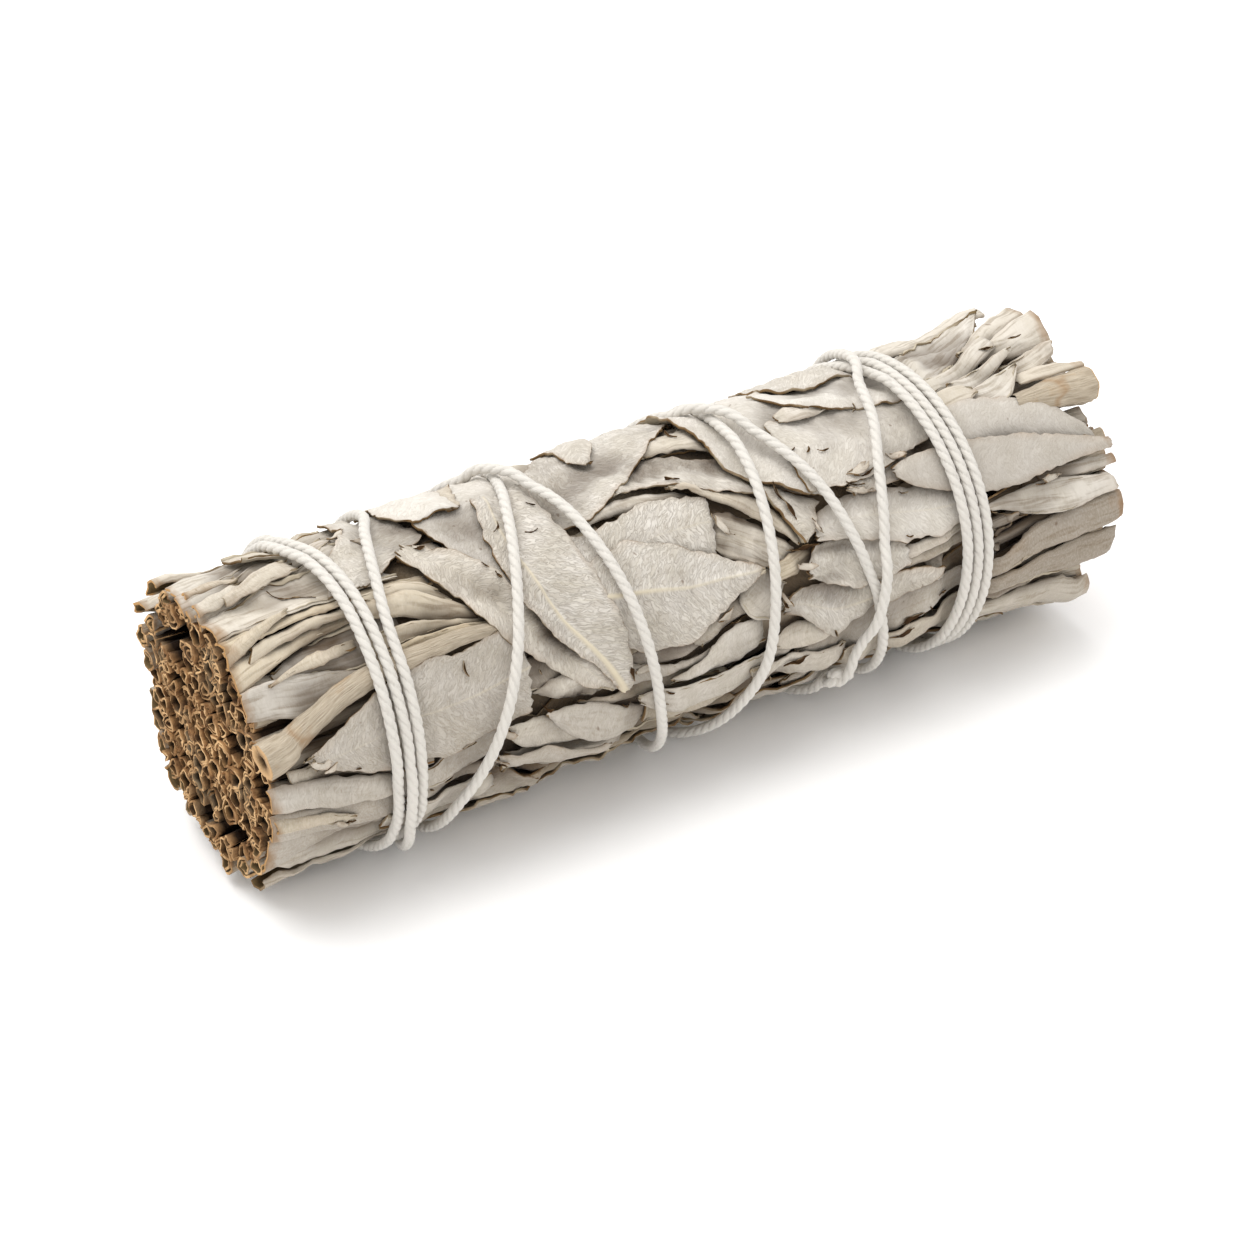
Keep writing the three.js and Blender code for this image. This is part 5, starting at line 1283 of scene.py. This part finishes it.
# A tear: a fine line painted nearly black and quite matt, as the shade in the hollow behind it.
tear_material, tree = new_material("shadowed_tear_in_leaf")
where = add(tree, "TexCoord").outputs["Object"]
spots = add(tree, "TexNoise", {"Vector": where, "Scale": 0.9 / MM, "Detail": 2.0})
tear_colour = add(tree, "Mix", {0: spots, 6: linear("#150D07"), 7: linear("#4E3721")}, data_type="RGBA")
shader = add(tree, "BsdfPrincipled", {
    "Base Color": tear_colour, "Roughness": 0.95, "Specular IOR Level": 0.1})
add(tree, "OutputMaterial", {"Surface": shader})
print("rim, inside and tear materials are ready")

# %% [markdown]
# Each leaf of the near side takes the place of the plain solid that stands for it. The smaller
# ones fill in between, and the leaves of the far side stand for the rows of solids there.

# %% Make the leaves
STANDS_FOR = {
    "leaf_over_top": 1, "leaf_cut_short": 2, "leaf_slanting": 3, "cover_right_top": 4,
    "leaf_smooth_right": 5, "leaf_near_broad": 6, "leaf_crossing": 7, "leaf_pointed": 8,
    "leaf_under_cover": 9, "leaf_slit": 10, "leaf_fan": 11, "leaf_far_broad": 12,
    "cover_far_b": 13, "pod_mid_a": 14, "pod_mid_j": 15, "pod_right_a": 16,
}
FAR_SOLIDS = 15
leaf_finish = [sage, rim_material, inside_material]
for name, grid in front.items():
    piece = grid_object(name, [grid], leaf_finish)
    if name in STANDS_FOR:
        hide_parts(f"wrap_leaf_{STANDS_FOR[name]:02d}")
for number, grid in enumerate(back):
    piece = grid_object(f"back_leaf_{number + 1:02d}", [grid], leaf_finish)
    if 0 <= number - skirt_count < FAR_SOLIDS:
        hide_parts(f"wrap_leaf_{number - skirt_count + len(STANDS_FOR) + 1:02d}")
ROLLS_A_PIECE = 4
for number in range(0, len(rolls), ROLLS_A_PIECE):
    grid_object(f"rolled_leaves_{number // ROLLS_A_PIECE + 1:02d}",
                rolls[number:number + ROLLS_A_PIECE], [sage, cut_rim, inside_material])
grid_object("dark_slits", slits, [tear_material, rim_material])
grid_object("curled_scraps", scraps, [sage, rim_material])
INNER_PIECES = 6
for k in range(INNER_PIECES):
    piece = grid_object(f"inner_leaves_{k + 1}", inner[k::INNER_PIECES], leaf_finish)
    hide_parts(f"sprig_{k + 1}")
print("leaves shown:", len(front), "near,", len(back), "far,", len(rolls), "rolled and",
      len(inner), "inner ones")

# %% [markdown]
# Round things that follow a line are made alike: a grid whose rows are rings round the line, with
# its two long sides merged. The twine's plies, the woody stems and the fuzz all use this.

# %% Tubes
def frames_along(centres):
    """For each point of a line: the way ahead, a way sideways and the way out from the axis"""
    ahead = np.gradient(centres, axis=0)
    ahead = ahead / np.linalg.norm(ahead, axis=1)[:, None]
    out = centres * (0, 1, 1) - (0, 0, AXIS_HEIGHT * MM)
    side = np.cross(out, ahead)
    side = side / np.linalg.norm(side, axis=1)[:, None]
    return ahead, side, np.cross(ahead, side)


def tube_object(name, tubes, material):
    """One piece of tubes. Each has rings of points and, for each point, where it is on the strand."""
    maker = bmesh.new()
    strand = maker.verts.layers.float_vector.new("strand")
    for rings, places in tubes:
        rows, sides = rings.shape[:2]
        made = bmesh.ops.create_grid(maker, x_segments=sides, y_segments=rows - 1, size=1)
        closed = np.concatenate([rings, rings[:, :1]], 1).reshape(-1, 3)
        noted = np.concatenate([places, places[:, :1]], 1).reshape(-1, 3)
        for vertex, point, note in zip(made["verts"], closed.tolist(), noted.tolist()):
            vertex.co = point
            vertex[strand] = note
        bmesh.ops.remove_doubles(maker, verts=made["verts"], dist=1e-7)
    for face in maker.faces:
        face.smooth = True
    bmesh.ops.recalc_face_normals(maker, faces=maker.faces)
    mesh = bpy.data.meshes.new(name)
    maker.to_mesh(mesh)
    maker.free()
    return new_piece(name, mesh, [material])


# %% [markdown]
# The twine is three-ply cotton. Each ply is a tube that winds round the twine's middle line once
# every few millimetres. The hollows between the plies give the twine its slanting grooves, which
# no bump map gives as well from close by.

# %% Twine
PLIES = 3
PLY_SIDES = 6
PITCH = 3.5
PLY_RADIUS = 0.425
PLY_OFFSET = 0.16


def plies_round(centres, steps_mm, first_turn=0.0):
    """The tubes of the plies round a line in metres"""
    ahead, side, out = frames_along(centres)
    along = np.arange(len(centres)) * steps_mm
    tubes = []
    for ply in range(PLIES):
        turn = -2 * math.pi * (along / PITCH + ply / PLIES) + first_turn
        direction = side * np.cos(turn)[:, None] + out * np.sin(turn)[:, None]
        middle = centres + direction * PLY_OFFSET * MM
        ring_turn = np.arange(PLY_SIDES) * 2 * math.pi / PLY_SIDES
        slant = np.gradient(middle, axis=0)
        slant = slant / np.linalg.norm(slant, axis=1)[:, None]
        first = np.cross(slant, direction)
        first = first / np.linalg.norm(first, axis=1)[:, None]
        second = np.cross(slant, first)
        rings = middle[:, None] + PLY_RADIUS * MM * (
            first[:, None] * np.cos(ring_turn)[None, :, None]
            + second[:, None] * np.sin(ring_turn)[None, :, None]
        )
        places = np.stack([
            along[:, None] + 0 * ring_turn[None],
            PLY_RADIUS * (ring_turn[None] + 0 * along[:, None]),
            np.full((len(along), PLY_SIDES), float(ply)),
        ], -1)
        tubes.append((rings, places))
    return tubes


twine_centres = place(twine_path[:, 0], twine_path[:, 1], TWINE_RADIUS + twine_heights)
twine_centres[:, 2] = np.maximum(twine_centres[:, 2], (TWINE_DIAMETER / 2 + 0.01) * MM)
ply_tubes = plies_round(twine_centres, TWINE_STEP)

# Unbleached spun cotton: matt off-white with a soft sheen, and fine fibres along each ply.
cotton, tree = new_material("natural_cotton_twine")
strand = add(tree, "Attribute", attribute_name="strand").outputs["Vector"]
stretched = add(tree, "Mapping", {"Vector": strand, "Scale": (0.8, 9.0, 5.0)})
fibres = add(tree, "TexNoise", {"Vector": stretched, "Scale": 1.6, "Detail": 3.0, "Roughness": 0.65})
cotton_colour = add(tree, "Mix", {
    0: fibres, 6: linear("#C5BFB4"), 7: linear("#E0DCD6")}, data_type="RGBA")
bump = add(tree, "Bump", {"Height": fibres, "Strength": 0.6, "Distance": 0.1 * MM})
shader = add(tree, "BsdfPrincipled", {
    "Base Color": cotton_colour, "Roughness": 0.88, "Specular IOR Level": 0.2,
    "Sheen Weight": 0.3, "Sheen Roughness": 0.4, "Normal": bump})
add(tree, "OutputMaterial", {"Surface": shader})

for number, tube in enumerate(ply_tubes):
    piece = tube_object(f"twine_ply_{number + 1}", [tube], cotton)
    if number == 0:
        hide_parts("cotton_twine")
print("twine plies:", PLIES, "with", len(twine_centres), "rings each")

# %% [markdown]
# Both ends of the twine are tied in one small knot on the underside. Its line is a trefoil, the
# curve of an overhand knot whose ends are joined. Two short ends stick out of it.

# %% Knot
KNOT_X, KNOT_DEGREES = 15.7, 126
KNOT_SIZE = 0.34
KNOT_STEP = 0.2
TAILS = [[(0.4, 0.3), (1.4, 0.9), (2.4, 1.2)], [(0.2, 0.4), (0.8, 1.5), (1.0, 2.6)]]
turn = np.linspace(0, 2 * math.pi, 200)
knot_line = KNOT_SIZE * np.stack([np.sin(turn) + 2 * np.sin(2 * turn),
                                  np.cos(turn) - 2 * np.cos(2 * turn), -0.9 * np.sin(3 * turn)], -1)
knot_tubes = []
for line in [knot_line] + [np.pad(smooth_line(tail), ((0, 0), (0, 1))) for tail in TAILS]:
    long = np.linalg.norm(np.diff(line, axis=0), axis=1).sum()
    line = even_steps(line, round(long / KNOT_STEP))
    knot_centres = place(KNOT_X + line[:, 0], KNOT_DEGREES * MM_PER_DEGREE + line[:, 1],
                         TWINE_RADIUS + 0.2 + line[:, 2])
    knot_tubes += plies_round(knot_centres, KNOT_STEP)
tube_object("twine_knot", knot_tubes, cotton)
print("knot:", len(knot_tubes) // PLIES, "lengths of twine")

# %% [markdown]
# Cotton is spun from short fibres, and some stand off the twine. They are thin tubes of three
# sides, because hairs made by a particle system would not be exported. Those below the bundle
# are bent up by the table, so none goes through it.

# %% Loose fibres
FIBRES = 900
FIBRE_RADIUS = 0.018
chance = np.random.default_rng(77)
fibre_tubes = []
ahead, side, out = frames_along(twine_centres)
ring_turn = np.arange(3) * 2 * math.pi / 3
for _ in range(FIBRES):
    i = chance.integers(2, len(twine_centres) - 2)
    turned = chance.uniform(-0.35, math.pi + 0.35)
    off = side[i] * math.cos(turned) + out[i] * math.sin(turned)
    lean = ahead[i] * chance.choice([-1, 1]) * chance.uniform(0.5, 1.6)
    long = chance.uniform(0.35, 1.1)
    share = np.linspace(0, 1, 5)[:, None]
    middle = twine_centres[i] + MM * (0.5 * off + long * share * (
        0.75 * off * (1 - 0.5 * share) + lean * share + 0.35 * np.cross(off, ahead[i]) * share**2))
    middle[:, 2] = np.maximum(middle[:, 2], FIBRE_RADIUS * MM)
    thinner = FIBRE_RADIUS * MM * (1 - 0.6 * share)[..., None]
    rings = middle[:, None] + thinner * (ahead[i] * np.cos(ring_turn)[:, None]
                                         + np.cross(off, ahead[i]) * np.sin(ring_turn)[:, None])
    fibre_tubes.append((rings, rings / MM))
tube_object("loose_cotton_fibres", fibre_tubes, cotton)
print("loose fibres:", FIBRES)

# %% [markdown]
# The woody stems are ribbed tubes. Each ends in a hollow mouth, because the soft pith inside a
# cut sage stem shrinks as it dries. The mouth is part of the same tube: its last rings turn
# inwards over the rim, go down inside and close.

# %% Woody stems
STEM_SIDES = 22
NODE_AT_MM = 9.8
MOUTH_DEPTHS = [2.2, 2.0, 0.7, 0.1, 0.0]
MOUTH_WIDTHS = [0.02, 0.2, 0.3, 0.4, 0.94]


def woody_stem(name, stem, material):
    """A ribbed stem along its bound line, with its mouth at the first point"""
    radius_out, _ = bound(stem["x"], stem["arc"], stem["height"])
    line = place(stem["x"], stem["arc"], radius_out)
    ahead, side, out = frames_along(line)
    centres = np.vstack([[line[0] + ahead[0] * depth * MM for depth in MOUTH_DEPTHS], line])
    widths = np.concatenate([np.array(MOUTH_WIDTHS) * stem["radius"][0], stem["radius"]])
    side, out = (np.vstack([np.repeat(way[:1], len(MOUTH_DEPTHS), 0), way]) for way in (side, out))
    turn = np.arange(STEM_SIDES) * 2 * math.pi / STEM_SIDES
    along = np.concatenate([[0], np.cumsum(np.linalg.norm(np.diff(centres, axis=0), axis=1))]) / MM
    rough = 1 + 0.05 * np.sin(7 * turn + 0.3)[None] + 0.05 * unevenness(
        along[:, None], 3 * np.cos(turn)[None], 3.0, 77)
    reach = (widths[:, None] * rough)[..., None] * MM
    rings = centres[:, None] + reach * (
        side[:, None] * np.cos(turn)[None, :, None] + out[:, None] * np.sin(turn)[None, :, None])
    rings[..., 0] = np.clip(rings[..., 0], -LENGTH / 2 * MM, LENGTH / 2 * MM)
    places = np.stack([along[:, None] + 0 * turn[None], turn[None] + 0 * along[:, None],
                       np.interp(np.arange(len(along)), [2, 4, 5, 6], [1, 0.5, 0.5, 0])[:, None]
                       + 0 * turn[None]], -1)
    return tube_object(name, [(rings, places)], material)


# Dried bark: straw-coloured ribs and tan blotches, a browner ring at the node, ochre at the cut, and
# painted shade, near-black brown, down inside its hollow mouth.
bark, tree = new_material("dry_sage_stem_bark")
strand = add(tree, "Attribute", attribute_name="strand").outputs["Vector"]
along_stem, _, in_mouth = add(tree, "SeparateXYZ", {0: strand}).outputs
ribs_place = add(tree, "Mapping", {"Vector": strand, "Scale": (0.35, 5.0, 0.0)})
ribs = add(tree, "TexNoise", {"Vector": ribs_place, "Scale": 1.6, "Detail": 3.0})
bark_colour = add(tree, "Mix", {0: ribs, 6: linear("#77654E"), 7: linear("#D2C6B2")}, data_type="RGBA")
where = add(tree, "TexCoord").outputs["Object"]
blotch = add(tree, "TexNoise", {"Vector": where, "Scale": 0.26 / MM, "Detail": 3.0})
blotched = add(tree, "MapRange", {0: blotch, 1: 0.55, 2: 0.66, 3: 0.0, 4: 0.5})
bark_colour = add(tree, "Mix", {0: blotched, 6: bark_colour, 7: linear("#A8875E")}, data_type="RGBA")
wavy = add(tree, "Math", {0: blotch, 1: 7.0, 2: along_stem}, operation="MULTIPLY_ADD")
off_node = add(tree, "Math", {0: wavy, 1: NODE_AT_MM}, operation="SUBTRACT")
off_node = add(tree, "Math", {0: off_node}, operation="ABSOLUTE")
at_node = add(tree, "MapRange", {0: off_node, 1: 0.9, 2: 0.0, 3: 0.0, 4: 0.55})
bark_colour = add(tree, "Mix", {0: at_node, 6: bark_colour, 7: linear("#94714A")}, data_type="RGBA")
at_rim = add(tree, "MapRange", {0: in_mouth, 1: 0.1, 2: 0.5})
bark_colour = add(tree, "Mix", {0: at_rim, 6: bark_colour, 7: linear("#C49F72")}, data_type="RGBA")
painted_pith_shade = add(tree, "MapRange", {0: in_mouth, 1: 0.55, 2: 0.9})
bark_colour = add(tree, "Mix", {0: painted_pith_shade, 6: bark_colour, 7: linear("#3C2816")}, data_type="RGBA")
bump = add(tree, "Bump", {"Height": ribs, "Strength": 0.8, "Distance": 0.3 * MM})
shader = add(tree, "BsdfPrincipled", {
    "Base Color": bark_colour, "Roughness": 0.82, "Specular IOR Level": 0.25, "Normal": bump})
add(tree, "OutputMaterial", {"Surface": shader})
STEM_NODES = {"woody_stem_near": "stem_near", "woody_stem_far": "stem_far"}
for name, stem in stems.items():
    piece = woody_stem(name, stem, bark)
    if name in STEM_NODES:
        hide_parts(STEM_NODES[name])
print("woody stems:", len(stems))

# %% [markdown]
# Where the bundle was cut, its leaves stand on end as a honeycomb of small brown rolls. Each roll
# is a strip that winds inwards in a spiral. Its outline is the room that it has among its
# neighbours: at every angle, the wall stands half way to the nearest one, as in foam.

# %% Cut ends
END_RADIUS = 13.2
ROLL_COUNTS = {1.1: 9, 0.92: 14, 0.76: 30, 0.62: 60, 0.5: 100, 0.4: 170}
ROLL_DEPTHS = np.array([0.0, 0.3, 1.0, 5.2])
ROLL_WALL = 0.2
LOWEST_ROLL = 0.3
FINEST_POINTS = 19
HOLLOWS = {-1: [(301, 11.2, 1.5), (319, 10.0, 1.8), (341, 10.1, 1.5), (298, 6.6, 1.0), (32, 9.2, 1.5),
                (305, 2.7, 0.9), (67, 7.0, 1.8), (224, 9.3, 1.0), (166, 9.1, 1.9), (147, 10.2, 1.5),
                (188, 11.3, 1.2), (86, 11.4, 1.6)],
           1: [(40, 11, 1.8), (200, 8, 1.7), (110, 6, 1.2), (300, 9, 1.5)]}


def across(degrees, radius):
    """The place across the bundle, in mm from its axis"""
    return radius * np.array([-math.sin(math.radians(degrees)), math.cos(math.radians(degrees))])


def roll_spots(end, chance):
    """The middle and size of each roll of one cut end, in mm, the largest first"""
    taken = np.array([(*across(degrees, radius), size) for degrees, radius, size in HOLLOWS[end]])
    hollows = len(taken)
    for size, count in ROLL_COUNTS.items():
        for _ in range(12 * count):
            spot = across(chance.uniform(0, 360), (END_RADIUS - size) * math.sqrt(chance.uniform()))
            if (np.linalg.norm(taken[:, :2] - spot, axis=1) > 0.94 * (taken[:, 2] + size)).all():
                taken = np.vstack([taken, (*spot, size)])
    return taken[hollows:]


def roll_grid(spots, i, end, chance):
    """One rolled leaf: a spiral strip in the room between its neighbours"""
    centre, size = spots[i, :2], spots[i, 2]
    away = np.delete(spots, i, 0) - (*centre, 0)
    distance = np.linalg.norm(away[:, :2], axis=1)
    near = distance < 4.2
    shared = (distance**2 + size**2 - away[:, 2] ** 2)[near] / 2 / distance[near]
    facing = np.arctan2(away[near, 1], away[near, 0])
    turns = chance.choice([1.03, 1.06, 1.1, 1.12, 1.6, 2.1])
    points = round(FINEST_POINTS * max(1, size / 0.75) * (1.3 if turns > 1.5 else 1))
    wound = np.linspace(0, turns, points)
    turn = chance.uniform(0, 2 * math.pi) - end * wound * 2 * math.pi
    towards = np.cos(turn[:, None] - facing[None])
    room = np.where(towards > 0.05, shared / np.maximum(towards, 0.05), 9).min(1)
    out = np.stack([np.cos(turn), np.sin(turn)], -1)
    along_out = (centre * out).sum(1)
    to_skirt = -along_out + np.sqrt(np.maximum(along_out**2 + END_RADIUS**2 - centre @ centre, 0))
    room = np.minimum(np.minimum(room, to_skirt), 1.6 * size)
    crinkles = sum(chance.uniform(0.02, 0.06) * np.sin(m * turn + chance.uniform(0, 6))
                   for m in (3, 4, 5, 7))
    room = (room - 0.03) * (1 + crinkles) * (1 - 0.45 * np.maximum(wound - 0.75, 0))
    room = np.clip(room, 0.1, 2.2)
    face = 0.75 + 0.45 * unevenness(*centre, 8.0, 90 + end) + chance.normal(0, 0.16)
    lip = 0.09 * np.sin(2 * turn + chance.uniform(0, 6)) + 0.05 * np.sin(5 * turn)
    depth = ROLL_DEPTHS[:, None] + np.maximum(face + lip, 0.02)[None] * (ROLL_DEPTHS < 5)[:, None]
    flare = np.array([1.03, 0.99, 0.95, 0.85])[:, None]
    drift = np.array([0, 0, 0.1, 0.5])[:, None] * chance.normal(0, 0.8, 2)
    spot = centre + drift[:, None] + out[None] * (room[None] * flare)[..., None]
    x = end * (LENGTH / 2 - depth)
    points = np.stack([x, spot[..., 0], spot[..., 1] + AXIS_HEIGHT], -1) * MM
    points[..., 2] = np.maximum(points[..., 2], LOWEST_ROLL * MM)
    return points


def cut_end(name, end, materials):
    """All rolls of one end as a piece"""
    chance = np.random.default_rng(60 + end)
    spots = roll_spots(end, chance)
    grids = [roll_grid(spots, i, end, chance) for i in range(len(spots))]
    mesh = mesh_of_grids(name, grids)
    inward = np.concatenate([np.repeat(ROLL_DEPTHS, grid.shape[1]) for grid in grids])
    attribute = mesh.attributes.new("inward", "FLOAT", "POINT")
    attribute.data.foreach_set("value", inward.astype(np.float32))
    piece = new_piece(name, mesh, materials)
    thicken(piece, ROLL_WALL, 2)
    print(name, "has", len(grids), "rolls")
    return piece


def cut_leaf_material(name, dark, light, deepest_shade, dark_by):
    """Brown cut leaf with painted shade that deepens further in: dark_by is the depth in mm where the
    painted shade is darkest
    """
    material, tree = new_material(name)
    where = add(tree, "TexCoord").outputs["Object"]
    inward = add(tree, "Attribute", attribute_name="inward").outputs["Fac"]
    spots = add(tree, "TexNoise", {"Vector": where, "Scale": 0.9 / MM, "Detail": 3.0})
    broad = add(tree, "TexNoise", {"Vector": where, "Scale": 0.16 / MM, "Detail": 2.0})
    spotted = add(tree, "MapRange", {0: spots, 1: 0.35, 2: 0.65})
    brown = add(tree, "Mix", {0: spotted, 6: linear(dark), 7: linear(light)}, data_type="RGBA")
    greyer = add(tree, "MapRange", {0: broad, 1: 0.5, 2: 0.7})
    brown = add(tree, "Mix", {0: greyer, 6: brown, 7: linear("#86745C")}, data_type="RGBA")
    shaded = add(tree, "MapRange", {0: inward, 1: 0.05, 2: dark_by})
    brown = add(tree, "Mix", {0: shaded, 6: brown, 7: linear(deepest_shade)}, data_type="RGBA")
    bump = add(tree, "Bump", {"Height": spots, "Strength": 0.9, "Distance": 0.4 * MM})
    shader = add(tree, "BsdfPrincipled", {
        "Base Color": brown, "Roughness": 0.88, "Specular IOR Level": 0.2, "Normal": bump})
    add(tree, "OutputMaterial", {"Surface": shader})
    return material


# Dry leaf cut across: brown, rough and grainy, with painted shade that darkens it inwards, so that each
# roll is a hole.
rolled = cut_leaf_material("dried_leaf_cut_across", "#6A4A2E", "#B48A5D", "#24170C", 1.0)
rolled_inside = cut_leaf_material("inside_of_cut_roll", "#4A321D", "#80603C", "#120B05", 0.6)
near_face = cut_end("near_cut_end", -1, [rolled, cut_rim, rolled_inside])
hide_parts("sprig_heart")
cut_end("far_cut_end", 1, [rolled, cut_rim, rolled_inside])

# %% [markdown]
# Deep inside, the leaves are packed so closely that no light gets through. A dark middle stands
# for them: a long round core below the inner leaves, and a wider disc behind the rolls of each
# cut end.

# %% Packed middle
MIDDLE_RADIUS = CORE_RADIUS - END_WAIST - 0.3
BEHIND_ROLLS = LENGTH / 2 - float(ROLL_DEPTHS[-1]) - 0.05
DISC_THICK = 0.6
DISC_RADIUS = END_RADIUS - 0.2
# Packed leaf in full shade: near-black brown, faintly mottled, seen only in the deepest gaps.
shade, tree = new_material("shaded_middle_of_bundle")
where = add(tree, "TexCoord").outputs["Object"]
mottled = add(tree, "TexNoise", {"Vector": where, "Scale": 0.5 / MM, "Detail": 3.0})
shade_colour = add(tree, "Mix", {
    0: mottled, 6: linear("#120B05"), 7: linear("#3A2818")}, data_type="RGBA")
shader = add(tree, "BsdfPrincipled", {
    "Base Color": shade_colour, "Roughness": 0.95, "Specular IOR Level": 0.1})
add(tree, "OutputMaterial", {"Surface": shader})
middle_maker = bmesh.new()
for x, long, radius in ((0, 2 * BEHIND_ROLLS - DISC_THICK, MIDDLE_RADIUS),
                        (DISC_THICK / 2 - BEHIND_ROLLS, DISC_THICK, DISC_RADIUS),
                        (BEHIND_ROLLS - DISC_THICK / 2, DISC_THICK, DISC_RADIUS)):
    to_place = Matrix.Translation(Vector((x, 0, AXIS_HEIGHT)) * MM) @ Matrix.Rotation(math.pi / 2, 4, "Y")
    bmesh.ops.create_cone(middle_maker, cap_ends=True, segments=48, radius1=radius * MM,
                          radius2=radius * MM, depth=long * MM, matrix=to_place)
middle_mesh = bpy.data.meshes.new("packed_middle")
middle_maker.to_mesh(middle_mesh)
middle_maker.free()
new_piece("packed_middle", middle_mesh, [shade])
print("packed middle:", round(2 * BEHIND_ROLLS, 1), "mm long")

# %% Finish
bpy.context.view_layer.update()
shown = bpy.context.evaluated_depsgraph_get()
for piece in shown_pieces():
    mesh = piece.evaluated_get(shown).to_mesh()
    piece.evaluated_get(shown).to_mesh_clear()
